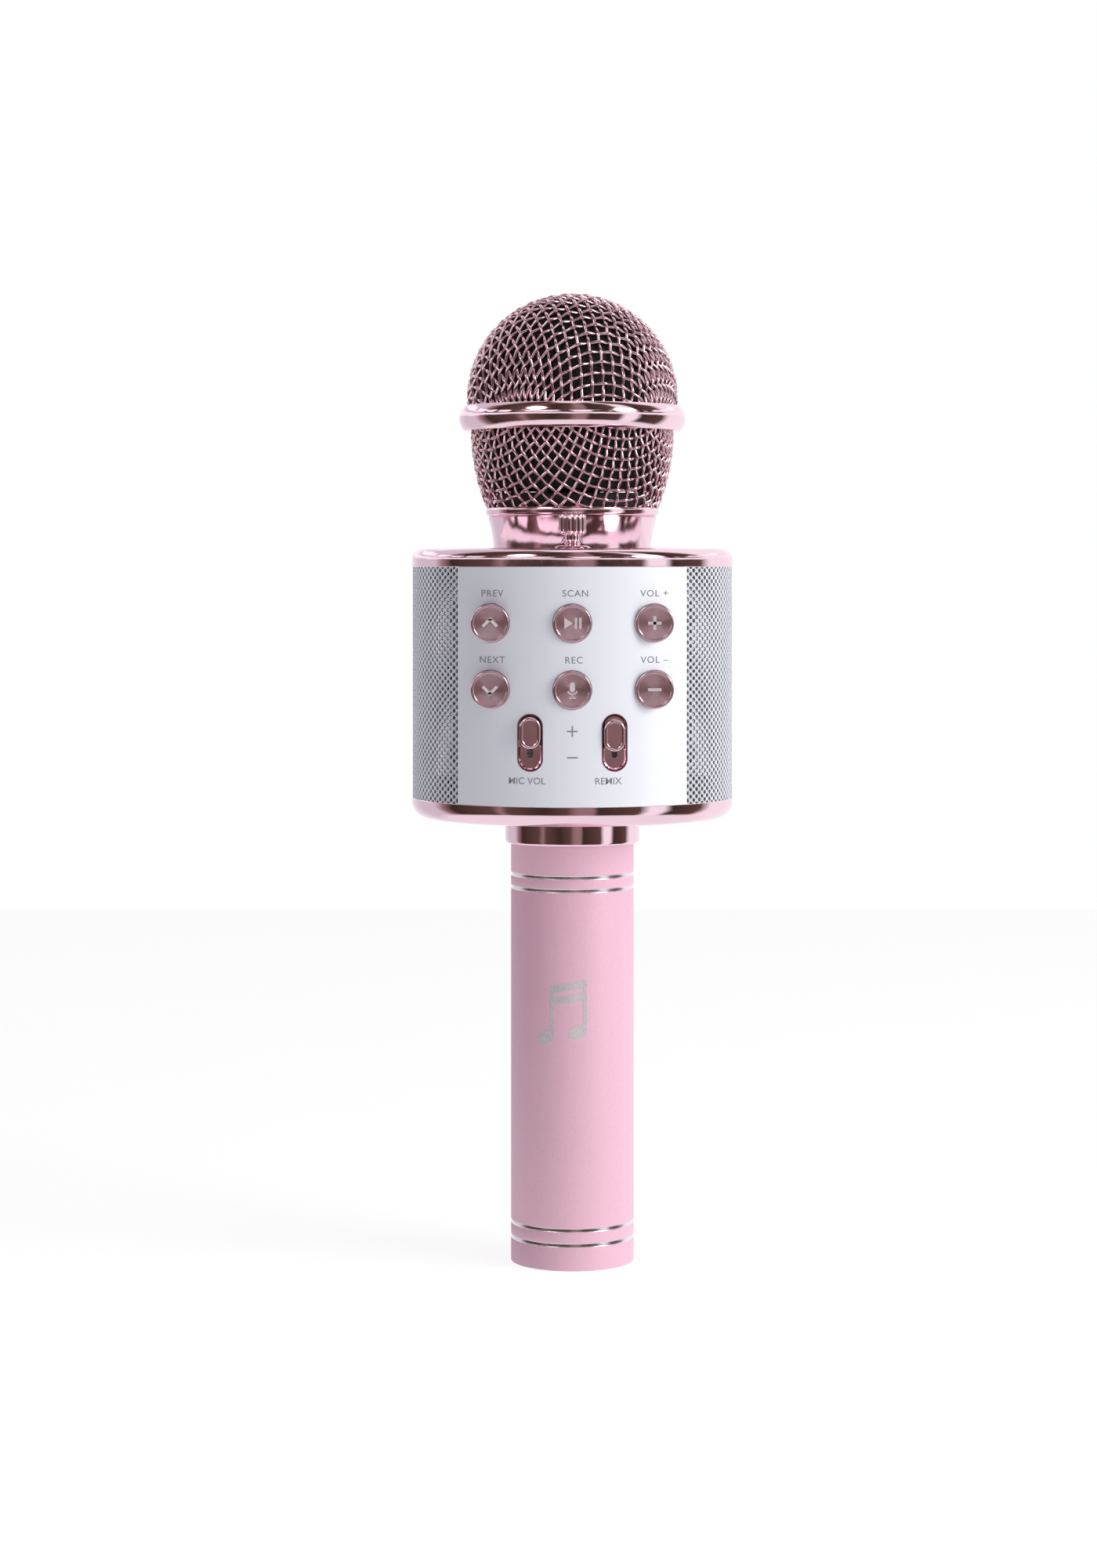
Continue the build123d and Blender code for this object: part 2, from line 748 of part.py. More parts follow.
# ---- neck and strap post -----------------------------------------------------------------------------
def neck():
    tail = neck_bore_radius + neck_tail_wall
    return turned([(neck_bore_radius, upper_plate_top), (tail, upper_plate_top), (tail, drum_top),
                   (neck_base_radius, drum_top), (neck_top_radius, neck_top), (neck_spigot_radius, neck_top),
                   (neck_spigot_radius, neck_top + neck_spigot_height),
                   (neck_bore_radius, neck_top + neck_spigot_height)])


def strap_post():
    y = -(rim_radius + strap_post_gap + post_head_radius)
    waist_top = post_foot_height + post_waist_height
    head_top = waist_top + post_head_height - post_foot_height
    points = [(0, 0), (post_foot_radius, 0), (post_foot_radius, post_foot_height),
              (post_waist_radius, post_foot_height + post_waist_height / 2), (post_waist_radius, waist_top),
              (post_head_radius, waist_top + post_foot_height), (post_head_radius, head_top), (0, head_top)]
    rounds = [((post_head_radius, head_top), post_foot_height),
              ((post_waist_radius, post_foot_height + post_waist_height / 2), post_waist_rounding)]
    body = turned(points, rounds)
    for index in range(flute_count):
        angle = radians(360.0 / flute_count * index)
        x = post_head_radius * cos(angle)
        away = post_head_radius * sin(angle)
        body -= rod((x, away, waist_top), (x, away, head_top), flute_radius)
    return Pos(0, y, drum_top) * body


# ---- capsule inside the head ---------------------------------------------------------------------------
stem_top = upper_plate_top + stem_height
boot_radius = capsule_radius + seat_gap + boot_wall


def capsule_stem():
    flange = neck_bore_radius - seat_gap
    flange_top = upper_plate_top + stem_flange_thickness
    return turned([(stem_bore_radius, upper_plate_top), (flange, upper_plate_top), (flange, flange_top),
                   (stem_radius, flange_top), (stem_radius, stem_top), (stem_bore_radius, stem_top)])


def capsule_boot():
    pocket = capsule_radius + seat_gap
    floor = stem_top + boot_floor
    return turned([(0, stem_top), (boot_radius, stem_top), (boot_radius, stem_top + boot_height),
                   (pocket, stem_top + boot_height), (pocket, floor), (0, floor)])


def capsule():
    low = stem_top + boot_floor
    body = rod((0, 0, low), (0, 0, low + capsule_height), capsule_radius)
    return fillet(body.edges().group_by(Axis.Z)[-1], capsule_rounding)


def capsule_lead():
    turn_height = upper_plate_base - capsule_lead_drop
    end_height = panel_base + jack_above - capsule_lead_clear
    first, second = capsule_lead_reach
    route = [(0, 0, stem_top), (0, 0, upper_plate_top + capsule_lead_rise), (0, first, turn_height),
             (0, second, end_height), (0, board_back, end_height)]
    return sweep_wire(route, wire_radius)


# ---- head, which lifts off the neck ---------------------------------------------------------------------
def head_rim():
    bore = neck_spigot_radius + running_gap
    points = [(bore, neck_top), (rim_radius, neck_top), (rim_radius, rim_top), (bore, rim_top)]
    return turned(points, [((rim_radius, neck_top), rim_rounding), ((rim_radius, rim_top), rim_rounding)])


def cup_side(inset, low, high):
    """Three points of the cup's bulging side, drawn in by inset: one arc, upright at the top."""
    offset = cup_top_radius - cup_base_radius
    arc_radius = (cup_height ** 2 + offset ** 2) / (2 * offset)
    heights = (low, (low + high) / 2, high)
    return [(cup_top_radius - arc_radius - inset + chord(arc_radius, cup_top - z), z) for z in heights]


def mesh_cup():
    outer = ThreePointArc(*cup_side(0, rim_top, cup_top))
    inner = ThreePointArc(*cup_side(mesh_thickness, rim_top, cup_top))
    base = Line(inner @ 0, outer @ 0)
    top = Line(inner @ 1, outer @ 1)
    return revolve(Plane.XZ * make_face([outer, inner, base, top]), Axis.Z)


def head_ring():
    middle = (cup_top + ring_top) / 2
    side = ThreePointArc((ring_end_radius, cup_top), (ring_middle_radius, middle),
                         (ring_end_radius, ring_top))
    rest = Polyline((ring_end_radius, ring_top), (ring_bore_radius, ring_top),
                    (ring_bore_radius, cup_top), (ring_end_radius, cup_top))
    outline = make_face([side, rest])
    for height in (cup_top, ring_top):
        corner = outline.vertices().sort_by_distance(Vector(ring_end_radius, height))[:1]
        outline = fillet(corner, ring_rounding)
    return revolve(Plane.XZ * outline, Axis.Z)


def dome_outline(radius):
    """A ball's upper part on the axis, cut off level with the top of the ring."""
    return Pos(0, 0, dome_centre) * Sphere(radius) & block(
        (-2 * radius, -2 * radius, ring_top), (2 * radius, 2 * radius, dome_centre + 2 * radius))


def mesh_dome():
    return dome_outline(dome_radius) - Pos(0, 0, dome_centre) * Sphere(dome_radius - mesh_thickness)


def foam_windscreen():
    inset = mesh_thickness + foam_gap
    ball = dome_radius - inset
    low = neck_top + neck_spigot_height + foam_base_gap
    side = cup_side(inset, low, cup_top)
    waist = side[-1][0]
    shoulder = dome_centre + sqrt(ball ** 2 - waist ** 2)
    bore = boot_radius + foam_bore_gap
    cavity_top = stem_top + boot_floor + capsule_height + foam_top_gap
    over = RadiusArc((waist, shoulder), (0, dome_centre + ball), -ball)
    rest = Polyline((0, dome_centre + ball), (0, cavity_top), (bore, cavity_top), (bore, low), side[0])
    upright = Line((waist, cup_top), (waist, shoulder))
    return revolve(Plane.XZ * make_face([ThreePointArc(*side), upright, over, rest]), Axis.Z)


# ---- write every node -------------------------------------------------------------------------------------
def mirrored(shape):
    return mirror(shape, about=Plane.YZ)


pieces = {
    "handle_tube": handle_tube(), "collar": collar(), "end_plug": end_plug(),
    "battery_cradle": battery_cradle(), "battery_cell": battery_cell(), "battery_leads": battery_leads(),
    "bottom_cap": bottom_cap(), "top_cap": top_cap(), "lower_frame": lower_frame(),
    "upper_frame": upper_frame(), "frame_screws": frame_screws(), "left_grille": grille(-1),
    "right_grille": grille(1), "front_panel": front_panel(), "rear_panel": rear_panel(),
    "key_board": key_board(), "tact_switches": tact_switches(), "board_screws": board_screws(),
    "mic_volume_tray": slider_tray(-slider_column), "remix_tray": slider_tray(slider_column),
    "slide_pots": slide_pots(), "mic_volume_knob": slider_knob(-slider_column, 0),
    "remix_knob": slider_knob(slider_column, right_knob_drop), "key_ribbon": key_ribbon(),
    "main_board": main_board(),
    "usb_socket": framed_socket(usb_size, usb_wall, usb_tongue, usb_tongue_setback, usb_above),
    "charge_socket": framed_socket(charge_size, charge_wall, charge_tongue, charge_tongue_setback,
                                   charge_above),
    "card_socket": card_socket(), "aux_jack": aux_jack(), "power_switch": power_switch(),
    "power_knob": power_knob(), "light_pipe": light_pipe(), "speaker_screws": speaker_screws(),
    "speaker_leads": speaker_leads(), "neck": neck(), "strap_post": strap_post(),
    "capsule_stem": capsule_stem(), "capsule_boot": capsule_boot(), "capsule": capsule(),
    "capsule_lead": capsule_lead(), "head_rim": head_rim(), "mesh_cup": mesh_cup(),
    "head_ring": head_ring(), "mesh_dome": mesh_dome(), "foam_windscreen": foam_windscreen(),
}

for name, make in (("baffle", speaker_baffle), ("basket", speaker_basket), ("magnet", speaker_magnet),
                   ("cone", speaker_cone)):
    pieces[f"right_speaker_{name}"] = make()
    pieces[f"left_speaker_{name}"] = mirrored(make())

button_names = (("previous_button", "next_button"), ("play_button", "record_button"),
                ("volume_up_button", "volume_down_button"))
for column, names in zip((-button_column, 0, button_column), button_names):
    for row, name in zip(button_rows, names):
        pieces[name] = button(column, row)

for name, shape in pieces.items():
    save(name, shape)
print(len(pieces), "nodes")
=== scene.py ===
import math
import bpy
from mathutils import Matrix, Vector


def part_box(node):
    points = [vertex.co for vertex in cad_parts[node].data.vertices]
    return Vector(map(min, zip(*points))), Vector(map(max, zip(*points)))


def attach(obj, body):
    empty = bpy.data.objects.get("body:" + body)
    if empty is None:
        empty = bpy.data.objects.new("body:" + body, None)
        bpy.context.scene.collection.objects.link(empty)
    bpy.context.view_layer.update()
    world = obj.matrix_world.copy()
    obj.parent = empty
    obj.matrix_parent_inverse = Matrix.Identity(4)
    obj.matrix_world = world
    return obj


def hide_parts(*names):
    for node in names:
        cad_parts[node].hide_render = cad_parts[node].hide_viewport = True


bl_info = {
    "name": "Toy Microphone",
    "version": (1, 0, 0),
    "blender": (4, 5, 0),
    "location": "View3D > Sidebar > Microphone",
    "description": "Builds the visible pieces of a toy microphone round its packed model",
    "category": "Object",
}

import bmesh
import bpy
from bpy.props import FloatProperty, FloatVectorProperty, IntProperty, PointerProperty
from mathutils import Matrix, Vector

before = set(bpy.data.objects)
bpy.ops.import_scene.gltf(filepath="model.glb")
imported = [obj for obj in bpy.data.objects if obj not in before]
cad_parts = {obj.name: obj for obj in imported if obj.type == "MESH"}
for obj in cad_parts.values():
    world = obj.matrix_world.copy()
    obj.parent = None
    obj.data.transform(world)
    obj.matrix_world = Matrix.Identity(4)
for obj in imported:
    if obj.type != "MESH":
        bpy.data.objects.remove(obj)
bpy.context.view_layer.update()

MM = 0.001
CASING = "casing"
HEAD = "head"


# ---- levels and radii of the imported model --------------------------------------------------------
def low(node):
    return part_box(node)[0]


def high(node):
    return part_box(node)[1]


def middle(node):
    return (low(node) + high(node)) / 2


def radius_at(node, height):
    """The widest radius of a CAD node about the microphone's axis, at one of its own levels."""
    points = [vertex.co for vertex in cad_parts[node].data.vertices]
    return max(math.hypot(p.x, p.y) for p in points if abs(p.z - height) < 0.02 * MM)


DRUM_RADIUS = high("bottom_cap").x
PANEL_LOW = low("front_panel").z
PANEL_HIGH = high("front_panel").z
PANEL_HALF_ANGLE = math.asin(high("front_panel").x / DRUM_RADIUS)
PANEL_WALL = 1.8 * MM
HANDLE_RADIUS = high("handle_tube").x
RIM_TOP = high("head_rim").z
CUP_TOP = high("mesh_cup").z
RING_TOP = high("head_ring").z
DOME_TOP = high("mesh_dome").z
DOME_RADIUS = high("mesh_dome").x
DOME_CENTRE = DOME_TOP - DOME_RADIUS


# ---- settings that a user would change -----------------------------------------------------------
def colour_setting(label, words, default):
    return FloatVectorProperty(name=label, description=words, subtype="COLOR", size=3, min=0, max=1,
                               default=default)


def length_setting(label, words, default):
    return FloatProperty(name=label, description=words, unit="LENGTH", default=default, precision=5)


class MicrophoneColours(bpy.types.PropertyGroup):
    """The colours of the microphone's finishes."""

    paint: colour_setting("Handle paint", "Metallic pink of the handle", (0.76, 0.43, 0.55))
    plating: colour_setting("Plating", "Rose plating of the caps, rings and buttons", (0.95, 0.72, 0.80))
    wire: colour_setting("Wire", "Plated wire of the head", (0.86, 0.62, 0.68))
    panel: colour_setting("Panel", "Pearl white of the two panels", (0.79, 0.80, 0.85))
    sheet: colour_setting("Grille sheet", "Perforated steel of the grilles", (0.78, 0.80, 0.85))
    ink: colour_setting("Legend ink", "Grey ink of the legends", (0.24, 0.24, 0.28))


class MicrophoneSizes(bpy.types.PropertyGroup):
    """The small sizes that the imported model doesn't hold."""

    wire_diameter: length_setting("Wire diameter", "Thickness of the woven wire", 0.86 * MM)
    wire_pitch: length_setting("Wire pitch", "Distance between neighbouring wires", 2.85 * MM)
    hole_diameter: length_setting("Hole diameter", "Width of a grille hole", 1.14 * MM)
    sheet_thickness: length_setting("Sheet thickness", "Thickness of the grille sheet", 0.5 * MM)
    hole_rows: IntProperty(name="Hole rows", description="Rows of holes up the grille", default=34, min=4)
    hole_columns: IntProperty(name="Hole columns", description="Columns of holes across the grille",
                              default=31, min=4)
    relief: length_setting("Icon relief", "How far a button's icon stands up", 0.22 * MM)
    legend_height: length_setting("Legend height", "Height of a capital letter", 1.65 * MM)


def colours():
    return bpy.context.scene.microphone_colours


def sizes():
    return bpy.context.scene.microphone_sizes


# ---- nodes ---------------------------------------------------------------------------------------
def add_node(tree, kind, settings=None, **inputs):
    """A node with its settings and inputs. An input is named by its label, or by i and its index."""
    node = tree.nodes.new(kind)
    for label, value in (settings or {}).items():
        setattr(node, label, value)
    for label, value in inputs.items():
        by_index = label[0] == "i" and label[1:].isdigit()
        socket = node.inputs[int(label[1:]) if by_index else label.replace("_", " ")]
        if isinstance(value, bpy.types.NodeSocket):
            tree.links.new(value, socket)
        else:
            socket.default_value = value
    return node


def mix_colours(tree, factor, first, second):
    """A colour between two others, each of them a socket or a plain colour."""
    pair = [value if isinstance(value, bpy.types.NodeSocket) else (*value[:3], 1) for value in (first, second)]
    return add_node(tree, "ShaderNodeMix", {"data_type": "RGBA"}, i0=factor, i6=pair[0], i7=pair[1]).outputs[2]


# ---- materials -----------------------------------------------------------------------------------
class Finish:
    """A Principled material and the nodes that give it grain, wear and relief."""

    def __init__(self, name, metallic=0.0, roughness=0.5, **sockets):
        self.material = bpy.data.materials.new(name)
        self.material.use_nodes = True
        self.tree = self.material.node_tree
        self.shader = self.tree.nodes["Principled BSDF"]
        self.shader.inputs["Metallic"].default_value = metallic
        self.shader.inputs["Roughness"].default_value = roughness
        for label, value in sockets.items():
            self.shader.inputs[label.replace("_", " ")].default_value = value

    def add(self, kind, settings=None, **inputs):
        return add_node(self.tree, kind, settings, **inputs)

    def place(self, stretch=(1, 1, 1), source="Object"):
        """The coordinates that the pattern follows."""
        start = self.add("ShaderNodeTexCoord").outputs[source]
        return self.add("ShaderNodeMapping", Vector=start, Scale=stretch).outputs["Vector"]

    def noise(self, vector, scale, detail=3.0):
        return self.add("ShaderNodeTexNoise", Vector=vector, Scale=scale, Detail=detail).outputs["Fac"]

    def remap(self, value, start, end, low_value=0.0, high_value=1.0):
        node = self.add("ShaderNodeMapRange", i0=value, i1=start, i2=end, i3=low_value, i4=high_value)
        return node.outputs[0]

    def mix(self, factor, first, second):
        return mix_colours(self.tree, factor, first, second)

    def colour(self, socket):
        self.tree.links.new(socket, self.shader.inputs["Base Color"])

    def rough(self, socket):
        self.tree.links.new(socket, self.shader.inputs["Roughness"])

    def bump(self, height, distance, strength=1.0):
        node = self.add("ShaderNodeBump", Strength=strength, Distance=distance, Height=height)
        before = self.shader.inputs["Normal"].links
        if before:
            self.tree.links.new(before[0].from_socket, node.inputs["Normal"])
        self.tree.links.new(node.outputs["Normal"], self.shader.inputs["Normal"])


def shade(colour, factor):
    return tuple(min(1.0, channel * factor) for channel in colour)


def grained(name, colour, metallic, roughness, spread, grain, relief, stretch=(1, 1, 1), tint=0.12,
            **sockets):
    """A finish with soft colour clouds, uneven gloss and a fine surface grain. spread is how far the
    gloss strays to each side, grain the scale of the noise, and tint how far the colour strays."""
    finish = Finish(name, metallic, roughness, **sockets)
    where = finish.place(stretch)
    clouds = finish.noise(where, grain / 12)
    fine = finish.noise(where, grain, 5.0)
    finish.colour(finish.mix(clouds, shade(colour, 1 - tint), shade(colour, 1 + tint)))
    finish.rough(finish.remap(fine, 0.3, 0.7, roughness - spread, roughness + spread))
    finish.bump(fine, relief)
    return finish


def plating_finish():
    base = tuple(colours().plating)
    finish = grained("rose_plating", base, 1.0, 0.075, 0.03, 900, 0.0006 * MM, tint=0.04)
    ripple = finish.noise(finish.place(), 90, 1.5)
    finish.bump(ripple, 0.13 * MM)
    return finish.material


def spun_finish():
    """Plated metal spun on a lathe: fine rings that follow the piece's own polar map."""
    base = tuple(colours().plating)
    finish = Finish("spun_plating", 1.0, 0.22, Anisotropic=0.88, Anisotropic_Rotation=0.25)
    where = finish.place(source="UV")
    across = finish.add("ShaderNodeSeparateXYZ", Vector=where).outputs["Y"]
    rings = finish.add("ShaderNodeTexNoise", {"noise_dimensions": "1D"}, W=across, Scale=46.0, Detail=4.0)
    clouds = finish.noise(finish.place(), 260, 2.0)
    finish.colour(finish.mix(rings.outputs["Fac"], shade(base, 0.70), shade(base, 1.04)))
    finish.rough(finish.remap(clouds, 0.3, 0.7, 0.17, 0.27))
    finish.bump(rings.outputs["Fac"], 0.005 * MM)
    tangent = finish.add("ShaderNodeTangent", {"direction_type": "UV_MAP", "uv_map": "map"})
    finish.tree.links.new(tangent.outputs[0], finish.shader.inputs["Tangent"])
    return finish.material


def paint_finish():
    """Satin metallic paint: fine flakes and a slight orange-peel."""
    base = tuple(colours().paint)
    finish = Finish("pink_paint", 0.05, 0.52, Coat_Weight=0.35, Coat_Roughness=0.5)
    where = finish.place()
    flakes = finish.add("ShaderNodeTexVoronoi", Vector=where, Scale=6500.0).outputs["Color"]
    glint = finish.add("ShaderNodeSeparateColor", Color=flakes).outputs[0]
    clouds = finish.noise(where, 40, 2.0)
    tinted = finish.mix(clouds, shade(base, 0.97), shade(base, 1.03))
    finish.colour(finish.mix(finish.remap(glint, 0.0, 1.0, 0.0, 0.16), tinted, (1.0, 0.86, 0.92)))
    finish.rough(finish.remap(finish.noise(where, 700, 4.0), 0.3, 0.7, 0.48, 0.57))
    finish.bump(finish.noise(where, 1400, 3.0), 0.004 * MM)
    return finish.material


def bright_cut_finish():
    """Metal laid bare by a turning tool."""
    finish = Finish("bright_cut", 1.0, 0.20)
    where = finish.place((1, 1, 60))
    lines = finish.noise(where, 180, 4.0)
    finish.colour(finish.mix(lines, (0.86, 0.84, 0.86), (0.99, 0.97, 0.99)))
    finish.rough(finish.remap(lines, 0.3, 0.7, 0.16, 0.30))
    finish.bump(lines, 0.006 * MM)
    return finish.material


def wire_finish():
    base = tuple(colours().wire)
    return grained("plated_wire", base, 1.0, 0.14, 0.05, 2600, 0.002 * MM, tint=0.05).material


def panel_finish():
    """Pearl white moulding: a soft sheen over fine mica."""
    base = tuple(colours().panel)
    finish = Finish("pearl_panel", 0.0, 0.34, Coat_Weight=0.35, Coat_Roughness=0.16, Sheen_Weight=0.08)
    where = finish.place()
    mica = finish.add("ShaderNodeTexVoronoi", Vector=where, Scale=7000.0).outputs["Color"]
    glint = finish.add("ShaderNodeSeparateColor", Color=mica).outputs[0]
    clouds = finish.noise(where, 30, 2.0)
    tinted = finish.mix(clouds, shade(base, 0.985), shade(base, 1.015))
    finish.colour(finish.mix(finish.remap(glint, 0.0, 1.0, 0.0, 0.10), tinted, (0.97, 0.97, 1.0)))
    finish.rough(finish.remap(finish.noise(where, 900, 4.0), 0.3, 0.7, 0.30, 0.38))
    finish.bump(finish.noise(where, 1100, 3.0), 0.0035 * MM)
    return finish.material


def sheet_finish():
    base = tuple(colours().sheet)
    return grained("perforated_steel", base, 0.45, 0.40, 0.08, 1500, 0.003 * MM, (1, 1, 0.2), 0.10).material


def foam_finish():
    """Open-cell foam: pores of two sizes in the relief, with painted shade that darkens each pore towards its
    hollow centre.
    """
    finish = Finish("open_foam", 0.0, 0.95)
    where = finish.place()
    pores = finish.add("ShaderNodeTexVoronoi", Vector=where, Scale=1500.0).outputs["Distance"]
    clouds = finish.noise(where, 500, 4.0)
    # painted shade: the colour darkens towards each pore's centre, where the pore is deepest
    pore_shade = finish.remap(pores, 0.1, 0.6)
    finish.colour(finish.mix(pore_shade, (0.004, 0.004, 0.005), (0.022, 0.022, 0.024)))
    finish.bump(pores, 0.25 * MM)
    finish.bump(clouds, 0.10 * MM)
    return finish.material


def board_finish():
    """Solder mask with faint copper tracks under it."""
    finish = Finish("solder_mask", 0.0, 0.32)
    where = finish.place()
    tracks = finish.add("ShaderNodeTexBrick", {"offset": 0.5}, Vector=where, Scale=240.0)
    tracks.inputs["Color1"].default_value = (0.01, 0.11, 0.05, 1)
    tracks.inputs["Color2"].default_value = (0.012, 0.14, 0.06, 1)
    tracks.inputs["Mortar"].default_value = (0.06, 0.26, 0.10, 1)
    clouds = finish.noise(where, 300, 3.0)
    finish.colour(finish.mix(clouds, tracks.outputs["Color"], (0.015, 0.13, 0.055)))
    finish.rough(finish.remap(clouds, 0.3, 0.7, 0.26, 0.42))
    finish.bump(tracks.outputs["Fac"], 0.02 * MM)
    return finish.material


def cell_finish():
    """Shrink sleeve round the cell, with a paler band towards its top."""
    finish = Finish("cell_sleeve", 0.0, 0.30)
    where = finish.place()
    height = finish.add("ShaderNodeSeparateXYZ", Vector=where).outputs["Z"]
    edge = low("battery_cell").z + 52 * MM
    band = finish.remap(height, edge, edge + 0.3 * MM)
    finish.colour(finish.mix(band, (0.03, 0.20, 0.34), (0.70, 0.74, 0.76)))
    wrinkle = finish.noise(finish.place((1, 1, 0.3)), 420, 3.0)
    finish.rough(finish.remap(wrinkle, 0.3, 0.7, 0.24, 0.36))
    finish.bump(wrinkle, 0.03 * MM)
    return finish.material


def light_finish():
    return grained("clear_light", (0.80, 0.88, 0.95), 0.0, 0.15, 0.04, 900, 0.002 * MM,
                   Transmission_Weight=0.75).material


def ink_finish(name, colour, metallic, roughness):
    return grained(name, colour, metallic, roughness, 0.06, 2600, 0.002 * MM, tint=0.06).material


# Finishes of inner and small pieces, as grained takes them: material, colour, metallic, roughness,
# spread, grain, relief and, where the grain is drawn out, its stretch.
PLAIN_FINISHES = {
    "icon": ("icon_metal", (0.97, 0.84, 0.88), 0.55, 0.36, 0.05, 1800, 0.003 * MM),
    "black": ("black_moulding", (0.022, 0.022, 0.024), 0.0, 0.55, 0.10, 1400, 0.02 * MM),
    "dark_steel": ("painted_pressing", (0.03, 0.03, 0.033), 0.3, 0.42, 0.08, 1000, 0.008 * MM),
    "zinc": ("zinc_plate", (0.58, 0.58, 0.61), 1.0, 0.30, 0.08, 1800, 0.004 * MM),
    "tin": ("tinned_sheet", (0.66, 0.66, 0.68), 1.0, 0.26, 0.07, 1500, 0.003 * MM, (1, 0.2, 1)),
    "paper": ("cone_paper", (0.035, 0.034, 0.033), 0.0, 0.80, 0.08, 1300, 0.03 * MM),
    "ferrite": ("ferrite", (0.07, 0.07, 0.075), 0.0, 0.62, 0.10, 900, 0.02 * MM),
    "rubber": ("soft_rubber", (0.02, 0.02, 0.021), 0.0, 0.68, 0.08, 1700, 0.01 * MM),
    "film": ("ribbon_film", (0.70, 0.71, 0.74), 0.0, 0.28, 0.06, 1200, 0.004 * MM, (20, 0.2, 0.2)),
    "can": ("drawn_can", (0.80, 0.80, 0.82), 1.0, 0.24, 0.06, 1500, 0.003 * MM, (1, 1, 8)),
    "sleeve": ("wire_sleeve", (0.42, 0.03, 0.03), 0.0, 0.45, 0.08, 2400, 0.004 * MM),
}
FINISH_MAKERS = {
    "plating": plating_finish,
    "spun": spun_finish,
    "paint": paint_finish,
    "bright_cut": bright_cut_finish,
    "wire": wire_finish,
    "panel": panel_finish,
    "sheet": sheet_finish,
    "foam": foam_finish,
    "board": board_finish,
    "cell": cell_finish,
    "light": light_finish,
    "ink": lambda: ink_finish("legend_ink", tuple(colours().ink), 0.0, 0.5),
    "silver": lambda: ink_finish("silver_print", (0.93, 0.90, 0.93), 0.55, 0.30),
}
made_finishes = {}


def finish_named(name):
    """A finish, made the first time that a piece asks for it."""
    if name not in made_finishes:
        if name in PLAIN_FINISHES:
            made_finishes[name] = grained(*PLAIN_FINISHES[name]).material
        else:
            made_finishes[name] = FINISH_MAKERS[name]()
    return made_finishes[name]


# ---- mesh building -------------------------------------------------------------------------------
def link_object(name, data):
    """A new object in the scene, at the origin."""
    item = bpy.data.objects.new(name, data)
    bpy.context.scene.collection.objects.link(item)
    return item


def link_piece(name, mesh, *finishes):
    piece = link_object(name, mesh)
    for finish in finishes:
        mesh.materials.append(finish_named(finish))
    return piece


def plain_mesh(name, shape):
    """A new mesh from a shape being edited, which is then freed."""
    mesh = bpy.data.meshes.new(name)
    shape.to_mesh(mesh)
    shape.free()
    return mesh


def soften(mesh, angle=32):
    """Smooth shading, with edges left sharp where the surface turns further than the angle."""
    mesh.shade_smooth()
    mesh.set_sharp_from_angle(angle=math.radians(angle))


def skin(loops, closed=False, bands=None, tags=None):
    """A mesh stretched over loops of equally many points. Unless the loops close on themselves,
    its two ends are filled. bands gives each loop's height on the piece's own map."""
    count = len(loops[0])
    shape = bmesh.new()
    rows = [[shape.verts.new(point) for point in loop] for loop in loops]
    layer = shape.loops.layers.uv.new("map")
    pairs = list(zip(range(len(loops)), range(1, len(loops))))
    if closed:
        pairs.append((len(loops) - 1, 0))
    for first, second in pairs:
        for index in range(count):
            after = (index + 1) % count
            corners = (rows[first][index], rows[first][after], rows[second][after], rows[second][index])
            face = shape.faces.new(corners)
            if tags:
                face.material_index = tags[first]
            if bands:
                spots = ((index, first), (index + 1, first), (index + 1, second), (index, second))
                for corner, (u, v) in zip(face.loops, spots):
                    corner[layer].uv = (u / count, bands[v])
    if not closed:
        shape.faces.new(list(reversed(rows[0])))
        shape.faces.new(rows[-1])
    bmesh.ops.recalc_face_normals(shape, faces=shape.faces)
    return plain_mesh("skin", shape)


def arc(centre, radius, start, end, steps=8):
    """Points of an arc in a section, its angles in degrees."""
    angles = [math.radians(start + (end - start) * k / steps) for k in range(steps + 1)]
    return [(centre[0] + radius * math.cos(a), centre[1] + radius * math.sin(a)) for a in angles]


def ring_loop(radius, height, steps=192):
    turn = 2 * math.pi / steps
    return [(radius * math.cos(turn * k), radius * math.sin(turn * k), height) for k in range(steps)]


def turned(name, section, finish, steps=192, angle=32):
    """A turned ring from its closed section of (radius, height) points."""
    mesh = skin([ring_loop(radius, height, steps) for radius, height in section], closed=True)
    soften(mesh, angle)
    return link_piece(name, mesh, finish)


def outline(width, height, steps=64):
    """An upright stadium, or a circle where width and height are equal, as (x, z) points."""
    radius = width / 2
    rise = max(0.0, height / 2 - radius)
    points = []
    for k in range(steps):
        angle = 2 * math.pi * (k + 0.5) / steps
        lift = rise if math.sin(angle) > 0 else -rise
        points.append((radius * math.cos(angle), radius * math.sin(angle) + lift))
    return points


def box_outline(width, height, radius, steps=4):
    """A rounded rectangle as (x, z) points."""
    points = []
    for quarter, (sx, sz) in enumerate(((1, 1), (-1, 1), (-1, -1), (1, -1))):
        centre = (sx * (width / 2 - radius), sz * (height / 2 - radius))
        points += arc(centre, radius, 90 * quarter, 90 * quarter + 90, steps)
    return points


def face_loop(points, x, z, depth):
    """Outline points set at (x, z) on the drum; depth is a Y, or a function of X that gives one."""
    if callable(depth):
        return [(x + u, depth(x + u), z + v) for u, v in points]
    return [(x + u, depth, z + v) for u, v in points]


def wall_at(x, lift=0.0):
    """The Y of the drum's front wall at x, or of one that stands proud of it by lift."""
    return -math.sqrt((DRUM_RADIUS + lift) ** 2 - x ** 2)


def evaluated(piece):
    """The piece's mesh with all its modifiers applied, as new plain data."""
    graph = bpy.context.evaluated_depsgraph_get()
    graph.update()
    mesh = bpy.data.meshes.new_from_object(piece.evaluated_get(graph))
    piece.modifiers.clear()
    return mesh


